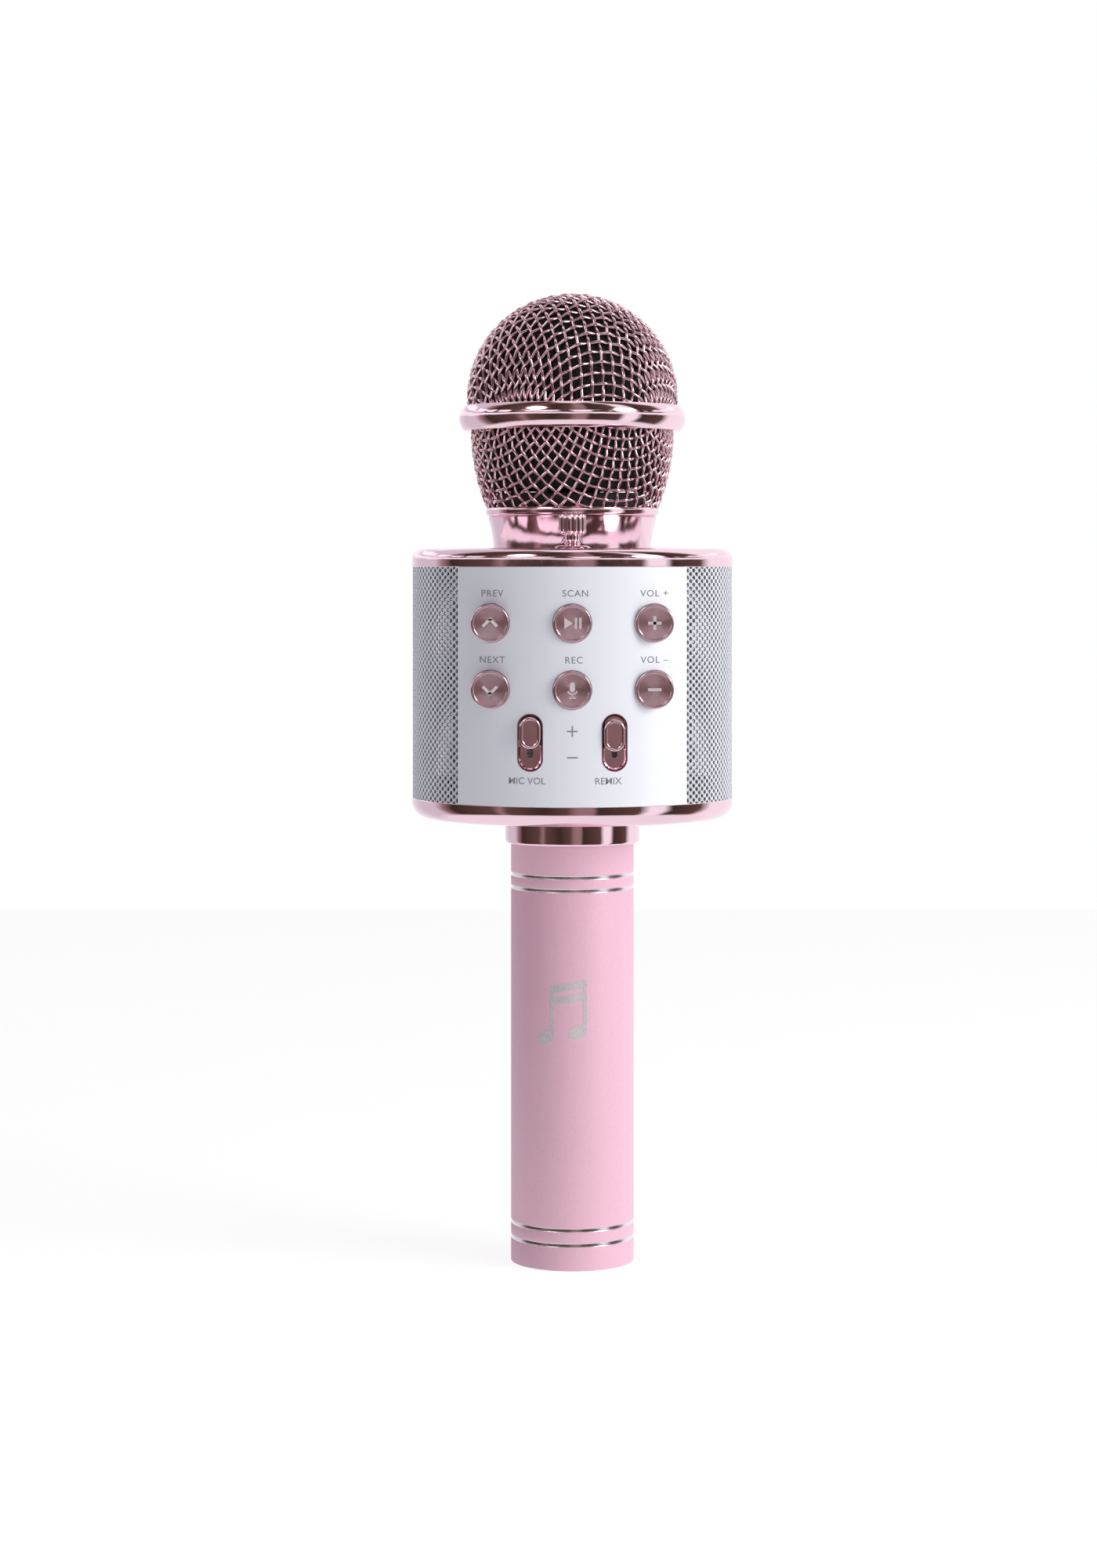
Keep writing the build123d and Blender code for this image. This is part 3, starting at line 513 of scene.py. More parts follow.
def cut(piece, meshes):
    """Take shapes out of a piece."""
    cutters = []
    for mesh in meshes:
        cutter = link_object("cutter", mesh)
        tool = piece.modifiers.new("cut", "BOOLEAN")
        tool.operation = "DIFFERENCE"
        tool.solver = "EXACT"
        tool.object = cutter
        cutters.append(cutter)
    piece.data = evaluated(piece)
    for cutter in cutters:
        bpy.data.objects.remove(cutter)
    return piece


def joined(meshes):
    """Several meshes as one."""
    shape = bmesh.new()
    for mesh in meshes:
        shape.from_mesh(mesh)
    return plain_mesh("joined", shape)


def settle(piece, body, slot, *nodes):
    """Fix a finished piece to its body and hide the CAD nodes that it stands for."""
    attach(piece, body)
    if nodes:
        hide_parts(*nodes)
    return piece


# ---- Geometry Nodes ------------------------------------------------------------------------------
class Graph:
    """A Geometry Nodes tree being built, with named inputs."""

    def __init__(self, name, inputs):
        self.tree = bpy.data.node_groups.new(name, "GeometryNodeTree")
        sockets = self.tree.interface
        sockets.new_socket("Geometry", in_out="INPUT", socket_type="NodeSocketGeometry")
        for label, kind in inputs:
            sockets.new_socket(label, in_out="INPUT", socket_type=kind)
        sockets.new_socket("Geometry", in_out="OUTPUT", socket_type="NodeSocketGeometry")
        self.given = self.tree.nodes.new("NodeGroupInput").outputs
        self.result = self.tree.nodes.new("NodeGroupOutput")

    def add(self, kind, settings=None, **inputs):
        return add_node(self.tree, kind, settings, **inputs).outputs

    def sum(self, operation, first, second=None):
        inputs = {"i0": first} if second is None else {"i0": first, "i1": second}
        return self.add("ShaderNodeMath", {"operation": operation}, **inputs)[0]

    def finish(self, geometry):
        real = self.add("GeometryNodeRealizeInstances", Geometry=geometry)["Geometry"]
        dressed = self.add("GeometryNodeSetMaterial", Geometry=real,
                           Material=self.given["Material"])["Geometry"]
        self.tree.links.new(dressed, self.result.inputs["Geometry"])
        return self.tree


def grow(name, mesh, tree, finish, **values):
    """Run a tree over a mesh, with its inputs set, and keep the plain mesh that results."""
    piece = link_object(name, mesh)
    modifier = piece.modifiers.new("grow", "NODES")
    modifier.node_group = tree
    values["Material"] = finish_named(finish)
    for item in tree.interface.items_tree:
        if item.in_out == "INPUT" and item.name in values:
            modifier[item.identifier] = values[item.name]
    result = evaluated(piece)
    piece.data = result
    if not result.materials:
        result.materials.append(finish_named(finish))
    return piece


def woven_tree():
    """Wires swept along guide lines, each guide point lifted over or under the wire it crosses."""
    graph = Graph("woven wire", (("Weave", "NodeSocketFloat"), ("Wire radius", "NodeSocketFloat"),
                                 ("Sides", "NodeSocketInt"), ("Material", "NodeSocketMaterial")))
    lift = graph.add("GeometryNodeInputNamedAttribute", {"data_type": "FLOAT_VECTOR"}, Name="lift")[0]
    offset = graph.add("ShaderNodeVectorMath", {"operation": "SCALE"}, i0=lift, Scale=graph.given["Weave"])[0]
    lifted = graph.add("GeometryNodeSetPosition", Geometry=graph.given["Geometry"], Offset=offset)[0]
    curve = graph.add("GeometryNodeMeshToCurve", Mesh=lifted)[0]
    spline = graph.add("GeometryNodeCurveSplineType", {"spline_type": "CATMULL_ROM"}, Curve=curve)[0]
    fine = graph.add("GeometryNodeSetSplineResolution", Geometry=spline, Resolution=2)[0]
    section = graph.add("GeometryNodeCurvePrimitiveCircle", Resolution=graph.given["Sides"],
                        Radius=graph.given["Wire radius"])[0]
    wires = graph.add("GeometryNodeCurveToMesh", i0=fine, i1=section, Fill_Caps=True)[0]
    smooth = graph.add("GeometryNodeSetShadeSmooth", Geometry=wires)[0]
    return graph.finish(smooth)


def perforated_tree():
    """One cell of sheet repeated on a staggered grid, welded, and bent round the drum."""
    graph = Graph("perforated sheet", (
        ("Rows", "NodeSocketInt"), ("Columns", "NodeSocketInt"), ("Width", "NodeSocketFloat"),
        ("Height", "NodeSocketFloat"), ("Low", "NodeSocketFloat"), ("Radius", "NodeSocketFloat"),
        ("Turn", "NodeSocketFloat"), ("Material", "NodeSocketMaterial")))
    given = graph.given
    fewer = [graph.sum("SUBTRACT", given[label], 1.0) for label in ("Columns", "Rows")]
    across = graph.sum("DIVIDE", given["Width"], fewer[0])
    up = graph.sum("DIVIDE", given["Height"], fewer[1])
    full = graph.add("GeometryNodeMeshGrid", Size_X=given["Width"], Size_Y=given["Height"],
                     Vertices_X=given["Columns"], Vertices_Y=given["Rows"])[0]
    inner = graph.add("GeometryNodeMeshGrid", Size_X=graph.sum("SUBTRACT", given["Width"], across),
                      Size_Y=graph.sum("SUBTRACT", given["Height"], up),
                      Vertices_X=fewer[0], Vertices_Y=fewer[1])[0]
    both = graph.add("GeometryNodeJoinGeometry")
    for grid in (full, inner):
        graph.tree.links.new(grid, both[0].node.inputs["Geometry"])
    cells = graph.add("GeometryNodeInstanceOnPoints", Points=both[0], Instance=given["Geometry"])[0]
    real = graph.add("GeometryNodeRealizeInstances", Geometry=cells)[0]
    welded = graph.add("GeometryNodeMergeByDistance", Geometry=real, Distance=0.02 * MM)[0]
    place = graph.add("GeometryNodeInputPosition")[0]
    part = graph.add("ShaderNodeSeparateXYZ", Vector=place)
    reach = graph.sum("ADD", given["Radius"], part["Z"])
    angle = graph.sum("ADD", graph.sum("DIVIDE", part["X"], given["Radius"]), given["Turn"])
    x = graph.sum("MULTIPLY", reach, graph.sum("SINE", angle))
    y = graph.sum("MULTIPLY", reach, graph.sum("MULTIPLY", graph.sum("COSINE", angle), -1.0))
    centre = graph.sum("ADD", given["Low"], graph.sum("MULTIPLY", given["Height"], 0.5))
    z = graph.sum("ADD", part["Y"], centre)
    bent = graph.add("ShaderNodeCombineXYZ", X=x, Y=y, Z=z)[0]
    moved = graph.add("GeometryNodeSetPosition", Geometry=welded, Position=bent)[0]
    return graph.finish(moved)


def screws_tree():
    """One screw set at every point of a mesh, its axis along the point's own direction."""
    graph = Graph("screws", (("Points", "NodeSocketObject"), ("Material", "NodeSocketMaterial")))
    points = graph.add("GeometryNodeObjectInfo", Object=graph.given["Points"])["Geometry"]
    way = graph.add("GeometryNodeInputNamedAttribute", {"data_type": "FLOAT_VECTOR"}, Name="way")[0]
    turn = graph.add("FunctionNodeAlignRotationToVector", {"axis": "Z"}, Vector=way)[0]
    screws = graph.add("GeometryNodeInstanceOnPoints", Points=points, Instance=graph.given["Geometry"],
                       Rotation=turn)[0]
    return graph.finish(screws)


# ---- camera, lights and floor --------------------------------------------------------------------
WHITE = (1.0, 1.0, 1.0)
BROWN = (0.105, 0.062, 0.050)
DEEP_BROWN = (0.045, 0.028, 0.023)
ROSE_GREY = (0.30, 0.20, 0.20)
SCREEN = (0.98, 0.95, 0.98)
DIM_SCREEN = (0.66, 0.63, 0.68)
# The reflected room's walls, by bearing in degrees from the front.
ROOM_STOPS = (
    (-180, SCREEN), (-140, DIM_SCREEN), (-116, DIM_SCREEN), (-106, ROSE_GREY), (-96, DEEP_BROWN),
    (-60, BROWN), (-52, ROSE_GREY), (-46, BROWN), (-20, DEEP_BROWN), (-4, BROWN), (4, ROSE_GREY),
    (14, ROSE_GREY), (18, DEEP_BROWN), (50, BROWN), (57, SCREEN), (69, SCREEN), (75, DEEP_BROWN),
    (104, BROWN), (116, SCREEN), (180, SCREEN),
)
# What else the room holds. Each pair is where a light starts and where it is full, as the Z of a
# direction of length 1, and each edge of the two bands wavers by WAVER.
STRIP_FOOT, STRIP_HEAD, STRIP_COLOUR = (0.08, 0.12), (0.27, 0.22), (1.02, 1.00, 1.04)
SCREEN_FOOT, SCREEN_HEAD, SCREEN_COLOUR = (0.30, 0.34), (0.50, 0.44), (1.25, 1.20, 1.24)
SCREEN_GAPS = (0.46, 0.50)
FLOOR_EDGE, FLOOR_COLOUR = (-0.50, -0.64), (0.90, 0.87, 0.89)
CEILING_EDGE, CEILING_COLOUR = (0.975, 0.997), (0.98, 0.97, 0.98)
WAVER = 0.06
# Small bright lamps: direction, how near a reflection has to come to it, and colour.
GLINTS = (
    ((0.76, -0.45, 0.47), 0.978, (8.0, 7.8, 7.8)),
    ((-0.52, -0.57, 0.64), 0.985, (4.0, 3.9, 4.0)),
)
GLINT_EDGE = 0.01
# The soft sky that lights matt surfaces.
SKY_LEFT, SKY_RIGHT, SKY_BELOW = (0.11, 0.11, 0.16), (0.60, 0.60, 0.60), (0.80, 0.80, 0.80)


def world_light():
    """White behind the object, a soft sky for the shading, and a dark room with white screens to reflect."""
    world = bpy.data.worlds.new("studio")
    bpy.context.scene.world = world
    world.use_nodes = True
    tree = world.node_tree
    tree.nodes.clear()

    def add(kind, settings=None, **inputs):
        return add_node(tree, kind, settings, **inputs).outputs

    def blend(factor, first, second):
        return mix_colours(tree, factor, first, second)

    def rise(value, first, second):
        return add("ShaderNodeMapRange", {"interpolation_type": "SMOOTHSTEP"}, i0=value, i1=first, i2=second)[0]

    def product(first, second):
        return add("ShaderNodeMath", {"operation": "MULTIPLY"}, i0=first, i1=second)[0]

    way = add("ShaderNodeTexCoord")["Generated"]
    part = add("ShaderNodeSeparateXYZ", Vector=way)
    azimuth = add("ShaderNodeMath", {"operation": "ARCTAN2"}, i0=part["X"], i1=product(part["Y"], -1.0))[0]
    around = add("ShaderNodeMapRange", i0=azimuth, i1=-math.pi, i2=math.pi)[0]
    room = add_node(tree, "ShaderNodeValToRGB", Fac=around)
    ramp = room.color_ramp
    while len(ramp.elements) < len(ROOM_STOPS):
        ramp.elements.new(0.5)
    for element, (degrees, value) in zip(ramp.elements, ROOM_STOPS):
        element.position = (degrees + 180) / 360
        element.color = (*value, 1)

    clouds = add("ShaderNodeTexNoise", Vector=way, Scale=3.2, Detail=1.5)["Fac"]
    wave = add("ShaderNodeMath", {"operation": "MULTIPLY_ADD"}, i0=clouds, i1=2 * WAVER, i2=-WAVER)[0]
    level = add("ShaderNodeMath", i0=part["Z"], i1=wave)[0]
    strip_light = product(rise(level, *STRIP_FOOT), rise(level, *STRIP_HEAD))
    screens = product(rise(level, *SCREEN_FOOT), rise(level, *SCREEN_HEAD))
    screens = product(screens, rise(clouds, *SCREEN_GAPS))
    mirror = blend(strip_light, room.outputs["Color"], STRIP_COLOUR)
    mirror = blend(screens, mirror, SCREEN_COLOUR)
    mirror = blend(rise(part["Z"], *FLOOR_EDGE), mirror, FLOOR_COLOUR)
    for aim, spread, value in GLINTS:
        towards = add("ShaderNodeVectorMath", {"operation": "DOT_PRODUCT"}, i0=way, i1=aim)["Value"]
        mirror = blend(rise(towards, spread, spread + GLINT_EDGE), mirror, value)
    mirror = blend(rise(part["Z"], *CEILING_EDGE), mirror, CEILING_COLOUR)
    sky = blend(rise(part["X"], -1.0, 1.0), SKY_LEFT, SKY_RIGHT)
    sky = blend(rise(part["Z"], 0.0, -0.15), sky, SKY_BELOW)
    path = add("ShaderNodeLightPath")
    light = blend(path["Is Glossy Ray"], sky, mirror)
    seen = blend(path["Is Camera Ray"], light, WHITE)
    back = add("ShaderNodeBackground", Color=seen, Strength=1.0)[0]
    out = add_node(tree, "ShaderNodeOutputWorld")
    tree.links.new(back, out.inputs["Surface"])


def area_light(name, place, aim, size, power, colour=(1, 1, 1)):
    light = bpy.data.lights.new(name, "AREA")
    light.energy = power
    light.size = size
    light.color = colour
    holder = link_object(name, light)
    holder.location = place
    holder.rotation_euler = (Vector(aim) - Vector(place)).to_track_quat("-Z", "Y").to_euler()
    holder.visible_glossy = False


CAMERA_DISTANCE = 0.880
CAMERA_HEIGHT = 0.1824
CAMERA_LENS = 76.5
CAMERA_SHIFT = (-0.0152, -0.1377)
FLOOR_REACH = (0.9, 0.31, 0.9)    # to each side, towards the camera and away from it


class MICROPHONE_OT_stage(bpy.types.Operator):
    """Set up the camera, the studio light and the pale floor"""

    bl_idname = "microphone.stage"
    bl_label = "Stage"

    def execute(self, context):
        camera = link_object("camera", bpy.data.cameras.new("camera"))
        camera.location = (0, -CAMERA_DISTANCE, CAMERA_HEIGHT)
        camera.rotation_euler = (math.radians(90), 0, 0)
        camera.data.lens = CAMERA_LENS
        camera.data.shift_x, camera.data.shift_y = CAMERA_SHIFT
        context.scene.camera = camera
        context.scene.view_settings.view_transform = "Standard"
        aim = (0, 0, PANEL_LOW)
        area_light("key", (1.0, -0.5, 0.42), aim, 0.7, 9.4)
        area_light("fill", (-0.8, -0.55, 0.35), aim, 0.7, 0.35, (0.93, 0.93, 1.0))
        world_light()
        side, front, back = FLOOR_REACH
        corners = [(-side, -front, 0), (side, -front, 0), (side, back, 0), (-side, back, 0)]
        mesh = bpy.data.meshes.new("floor")
        mesh.from_pydata(corners, [], [(0, 1, 2, 3)])
        floor = link_object("floor", mesh)
        finish = Finish("pale_floor", 0.0, 0.75)
        where = finish.place()
        finish.colour(finish.mix(finish.noise(where, 30, 3.0), (0.30, 0.30, 0.30), (0.32, 0.32, 0.32)))
        finish.shader.inputs["Specular IOR Level"].default_value = 0.0
        finish.shader.inputs["Emission Color"].default_value = (1, 1, 1, 1)
        finish.shader.inputs["Emission Strength"].default_value = 0.84
        mesh.materials.append(finish.material)
        floor.visible_glossy = False
        return {"FINISHED"}


# ---- handle --------------------------------------------------------------------------------------
GROOVE_WIDTH = 0.8 * MM
GROOVE_DEPTH = 0.25 * MM
GROOVE_LEVELS = (6.7 * MM, 10.6 * MM, 98.6 * MM, 102.0 * MM)


def handle_mesh():
    top = high("handle_tube").z
    bore = HANDLE_RADIUS - 1.6 * MM
    section = [(bore, 0.0), (HANDLE_RADIUS - 0.15 * MM, 0.0), (HANDLE_RADIUS, 0.15 * MM)]
    tags = [0, 0, 0]
    for level in GROOVE_LEVELS:
        half = GROOVE_WIDTH / 2
        bottom = HANDLE_RADIUS - GROOVE_DEPTH
        section += [(HANDLE_RADIUS, level - half - 0.1 * MM), (HANDLE_RADIUS - 0.05 * MM, level - half),
                    (bottom, level - half * 0.7), (bottom, level + half * 0.7),
                    (HANDLE_RADIUS - 0.05 * MM, level + half), (HANDLE_RADIUS, level + half + 0.1 * MM)]
        tags += [1, 1, 1, 1, 1, 0]
    section += [(HANDLE_RADIUS, top), (bore, top)]
    tags += [0, 0]
    mesh = skin([ring_loop(radius, height) for radius, height in section], closed=True, tags=tags)
    soften(mesh)
    return mesh


class MICROPHONE_OT_handle(bpy.types.Operator):
    """Build the painted handle with its bright-cut grooves and the plated collar"""

    bl_idname = "microphone.handle"
    bl_label = "Handle and collar"

    def execute(self, context):
        piece = link_piece("painted_handle", handle_mesh(), "paint", "bright_cut")
        settle(piece, CASING, "pink_paint", "handle_tube")
        base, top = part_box("collar")
        inner = HANDLE_RADIUS + 0.1 * MM
        turn = 1.0 * MM
        section = [(inner, base.z)]
        section += arc((top.x - turn, base.z + turn), turn, -90, 0)
        section += [(top.x, top.z - 0.2 * MM), (top.x - 0.2 * MM, top.z), (inner, top.z)]
        settle(turned("plated_collar", section, "plating"), CASING, "rose_plate", "collar")
        return {"FINISHED"}


# ---- generic motif on the handle -----------------------------------------------------------------
def strip(points, width, steps=10):
    """A band of even width along a line of (u, v) points, as a list of small quads."""
    quads = []
    for (u0, v0), (u1, v1) in zip(points, points[1:]):
        length = math.hypot(u1 - u0, v1 - v0)
        nu, nv = -(v1 - v0) / length * width / 2, (u1 - u0) / length * width / 2
        for k in range(steps):
            a, b = k / steps, (k + 1) / steps
            start = (u0 + (u1 - u0) * a, v0 + (v1 - v0) * a)
            end = (u0 + (u1 - u0) * b, v0 + (v1 - v0) * b)
            quads.append([(start[0] - nu, start[1] - nv), (end[0] - nu, end[1] - nv),
                          (end[0] + nu, end[1] + nv), (start[0] + nu, start[1] + nv)])
    return quads


def oval(centre, width, height, tilt, steps=18):
    """A tilted oval as narrow upright slices, so that it follows a curved wall."""
    c, d = math.cos(math.radians(tilt)), math.sin(math.radians(tilt))
    p, q = 4 / width ** 2, 4 / height ** 2
    up, both, across = d * d * p + c * c * q, 2 * c * d * (p - q), c * c * p + d * d * q
    reach = math.sqrt(up / (up * across - both ** 2 / 4)) * 0.999
    edges = []
    for k in range(steps + 1):
        x = -reach * math.cos(math.pi * k / steps)
        half = math.sqrt(max(0.0, (both * x) ** 2 - 4 * up * (across * x * x - 1))) / (2 * up)
        level = -both * x / (2 * up)
        edges.append((centre[0] + x, centre[1] + level - half, centre[1] + level + half))
    return [[(x0, low0), (x1, low1), (x1, high1), (x0, high0)]
            for (x0, low0, high0), (x1, low1, high1) in zip(edges, edges[1:])]


def prisms(shapes, place, thickness):
    """Flat shapes given a thickness; place turns (u, v, w) into a point of the model."""
    result = bmesh.new()
    for points in shapes:
        bottom = [result.verts.new(place(u, v, 0.0)) for u, v in points]
        top = [result.verts.new(place(u, v, thickness)) for u, v in points]
        count = len(points)
        result.faces.new(top)
        result.faces.new(list(reversed(bottom)))
        for k in range(count):
            after = (k + 1) % count
            result.faces.new((bottom[k], bottom[after], top[after], top[k]))
    bmesh.ops.recalc_face_normals(result, faces=result.faces)
    return plain_mesh("prisms", result)


MOTIF_HEIGHT = 0.067
MOTIF_TURN = -4.0


class MICROPHONE_OT_motif(bpy.types.Operator):
    """Print a pair of plain music notes on the handle"""

    bl_idname = "microphone.motif"
    bl_label = "Music notes"

    def execute(self, context):
        left, right, foot, head = -4.2 * MM, 4.4 * MM, -6.6 * MM, 7.0 * MM
        stem = 1.0 * MM
        slope = 1.6 * MM
        shapes = strip([(left, foot), (left, head)], stem, 2)
        shapes += strip([(right, foot + slope), (right, head + slope)], stem, 2)
        for drop in (1.0 * MM, 4.2 * MM):
            ends = [(left - stem / 2, head - drop), (right + stem / 2, head + slope - drop)]
            shapes += strip(ends, 2.0 * MM, 12)
        shapes += oval((left - 1.9 * MM, foot), 5.0 * MM, 3.5 * MM, 20)
        shapes += oval((right - 1.9 * MM, foot + slope), 5.0 * MM, 3.5 * MM, 20)
        turn = math.radians(MOTIF_TURN)

        def place(u, v, w):
            angle = u / HANDLE_RADIUS + turn
            reach = HANDLE_RADIUS + w - 0.02 * MM
            return (reach * math.sin(angle), -reach * math.cos(angle), MOTIF_HEIGHT + v)

        mesh = prisms(shapes, place, 0.07 * MM)
        settle(link_piece("printed_notes", mesh, "silver"), CASING, "pink_paint")
        return {"FINISHED"}


# ---- plated caps, neck and rings -----------------------------------------------------------------
def bottom_cap_section():
    base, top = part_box("bottom_cap")
    turn, wall, hole = 4.2 * MM, 1.6 * MM, 14.6 * MM
    inner = turn - wall
    section = [(hole, base.z)] + arc((top.x - turn, base.z + turn), turn, -90, 0, 14)
    section += [(top.x, top.z - 0.12 * MM), (top.x - 0.12 * MM, top.z), (top.x - wall, top.z)]
    section += arc((top.x - wall - inner, base.z + wall + inner), inner, 0, -90, 8)
    return section + [(hole, base.z + wall)]


def top_cap_section():
    base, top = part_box("top_cap")
    turn, wall, hole = 3.0 * MM, 1.6 * MM, 18.9 * MM
    inner = turn - wall
    section = [(hole, top.z - wall)] + arc((top.x - wall - inner, top.z - wall - inner), inner, 90, 0, 8)
    section += [(top.x - wall, base.z), (top.x - 0.12 * MM, base.z), (top.x, base.z + 0.12 * MM)]
    section += arc((top.x - turn, top.z - turn), turn, 0, 90, 14)
    return section + [(hole, top.z)]


def neck_section():
    base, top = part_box("neck")
    drum_top = high("top_cap").z
    shoulder = low("head_rim").z
    bore, tail = 18.0 * MM, 18.8 * MM
    foot, wide = 20.8 * MM, top.x
    section = [(bore, base.z), (tail, base.z), (tail, drum_top), (foot - 0.2 * MM, drum_top)]
    steps = 16
    for k in range(steps + 1):
        rise = k / steps
        height = drum_top + 0.2 * MM + (shoulder - drum_top - 0.5 * MM) * rise
        section.append((foot + (wide - foot) * rise ** 1.7, height))
    return section + [(wide - 0.25 * MM, shoulder - 0.02 * MM), (bore, shoulder - 0.02 * MM)]


def spigot_section():
    """The neck's upper end, which the plating doesn't reach."""
    shoulder, top = low("head_rim").z - 0.02 * MM, high("neck").z
    bore, spigot, turn = 18.0 * MM, 19.9 * MM, 0.3 * MM
    return [(bore, shoulder), (spigot, shoulder), (spigot, top - turn), (spigot - turn, top), (bore, top)]


def head_rim_section():
    base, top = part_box("head_rim")
    bore, turn = 19.95 * MM, 0.9 * MM
    section = [(bore, base.z)] + arc((top.x - turn, base.z + turn), turn, -90, 0, 8)
    return section + arc((top.x - turn, top.z - turn), turn, 0, 90, 8) + [(bore, top.z)]


def head_ring_section():
    base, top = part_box("head_ring")
    bore, edge, turn = 26.0 * MM, 29.05 * MM, 0.6 * MM
    middle_height = (base.z + top.z) / 2
    half = (top.z - base.z) / 2 - turn
    section = [(bore, base.z), (edge - turn, base.z)]
    steps = 18
    for k in range(steps + 1):
        rise = -1 + 2 * k / steps
        section.append((top.x - (top.x - edge) * rise ** 2, middle_height + rise * half))
    return section + [(edge - turn, top.z), (bore, top.z)]


class MICROPHONE_OT_plated(bpy.types.Operator):
    """Turn the plated caps, the neck and the head's two rings"""

    bl_idname = "microphone.plated"
    bl_label = "Caps, neck and rings"

    def execute(self, context):
        cap = turned("plated_bottom_cap", bottom_cap_section(), "plating", 256)
        floor = low("bottom_cap").z
        recesses = []
        for point in screw_spots("frame_screws"):
            if point.z < floor + MM:
                ends = [ring_loop(2.3 * MM, height, 32) for height in (floor - MM, floor + 1.1 * MM)]
                recesses.append(skin([[(x + point.x, y + point.y, z) for x, y, z in end] for end in ends]))
        soften(cut(cap, recesses).data)
        settle(cap, CASING, "rose_plate", "bottom_cap")
        settle(turned("plated_top_cap", top_cap_section(), "plating", 256), CASING, "rose_plate", "top_cap")
        settle(turned("plated_neck", neck_section(), "plating"), CASING, "rose_plate", "neck")
        settle(turned("bare_spigot", spigot_section(), "black"), CASING, "black_plastic")
        settle(turned("plated_head_rim", head_rim_section(), "plating"), HEAD, "rose_plate", "head_rim")
        settle(turned("plated_head_ring", head_ring_section(), "plating", 256), HEAD, "rose_plate", "head_ring")
        return {"FINISHED"}


# ---- screws --------------------------------------------------------------------------------------
def cad_islands(node):
    """The separate solids of a CAD node, each as its list of points."""
    shape = bmesh.new()
    shape.from_mesh(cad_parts[node].data)
    bmesh.ops.remove_doubles(shape, verts=shape.verts, dist=0.002 * MM)
    left = set(shape.verts)
    islands = []
    while left:
        front = [left.pop()]
        found = []
        while front:
            vertex = front.pop()
            found.append(vertex.co.copy())
            for edge in vertex.link_edges:
                other = edge.other_vert(vertex)
                if other in left:
                    left.discard(other)
                    front.append(other)
        islands.append(found)
    shape.free()
    return sorted(islands, key=lambda points: tuple(round(c, 5) for c in sum(points, Vector()) / len(points)))


def screw_axis(points):
    """Where a screw's head is and which way it looks, from its solid's points."""
    lowest = Vector([min(p[i] for p in points) for i in range(3)])
    highest = Vector([max(p[i] for p in points) for i in range(3)])
    span = highest - lowest
    axis = max(range(3), key=lambda i: span[i])
    centre = (lowest + highest) / 2
    wide = max(points, key=lambda p: (p - centre).length - abs(p[axis] - centre[axis]))
    sign = 1 if wide[axis] > centre[axis] else -1
    way = Vector((0, 0, 0))
    way[axis] = sign
    head = centre.copy()
    head[axis] = highest[axis] if sign > 0 else lowest[axis]
    return head, way


def screw_spots(node):
    return [screw_axis(points)[0] for points in cad_islands(node)]


def screw_mesh():
    """A pan-head screw with a cross recess, its head's top at the origin and its shank below."""
    head, shank, depth, length, steps = 2.1 * MM, 1.1 * MM, 1.0 * MM, 8.0 * MM, 48

    def cross(height, scale=1.0):
        arm, half = 1.25 * MM * scale, 0.3 * MM * scale
        loop = []
        for k in range(steps):
            angle = 2 * math.pi * (k + 0.5) / steps
            c, s = abs(math.cos(angle)), abs(math.sin(angle))
            reach = max(min(arm / c, half / s), min(arm / s, half / c))
            loop.append((reach * math.cos(angle), reach * math.sin(angle), height))
        return loop

    def circle(radius, height):
        turn = 2 * math.pi / steps
        return [(radius * math.cos(turn * (k + 0.5)), radius * math.sin(turn * (k + 0.5)), height)
                for k in range(steps)]

    loops = [cross(-0.6 * MM, 0.6), cross(-0.03 * MM), circle(1.5 * MM, 0), circle(head * 0.86, -0.12 * MM),
             circle(head, -0.45 * MM), circle(head, -depth), circle(shank, -depth)]
    for k in range(12):
        height = -depth - 0.3 * MM - k * 0.55 * MM
        loops += [circle(shank * 0.82, height), circle(shank, height - 0.22 * MM),
                  circle(shank, height - 0.28 * MM)]
    loops += [circle(0.3 * MM, -length)]
    mesh = skin(loops)
    soften(mesh, 30)
    return mesh


class MICROPHONE_OT_screws(bpy.types.Operator):
    """Set the cross-head screws of the frame, the boards and the speakers"""

    bl_idname = "microphone.screws"
    bl_label = "Screws"

    def execute(self, context):
        tree = screws_tree()
        for node in ("frame_screws", "board_screws", "speaker_screws"):
            spots = [screw_axis(points) for points in cad_islands(node)]
            mesh = bpy.data.meshes.new("spots")
            mesh.from_pydata([spot for spot, way in spots], [], [])
            ways = mesh.attributes.new("way", "FLOAT_VECTOR", "POINT")
            for item, (spot, way) in zip(ways.data, spots):
                item.vector = way
            holder = link_object("screw_points", mesh)
            piece = grow(f"cross_head_{node}", screw_mesh(), tree, "zinc", Points=holder)
            bpy.data.objects.remove(holder)
            settle(piece, CASING, "zinc_steel", node)
        return {"FINISHED"}


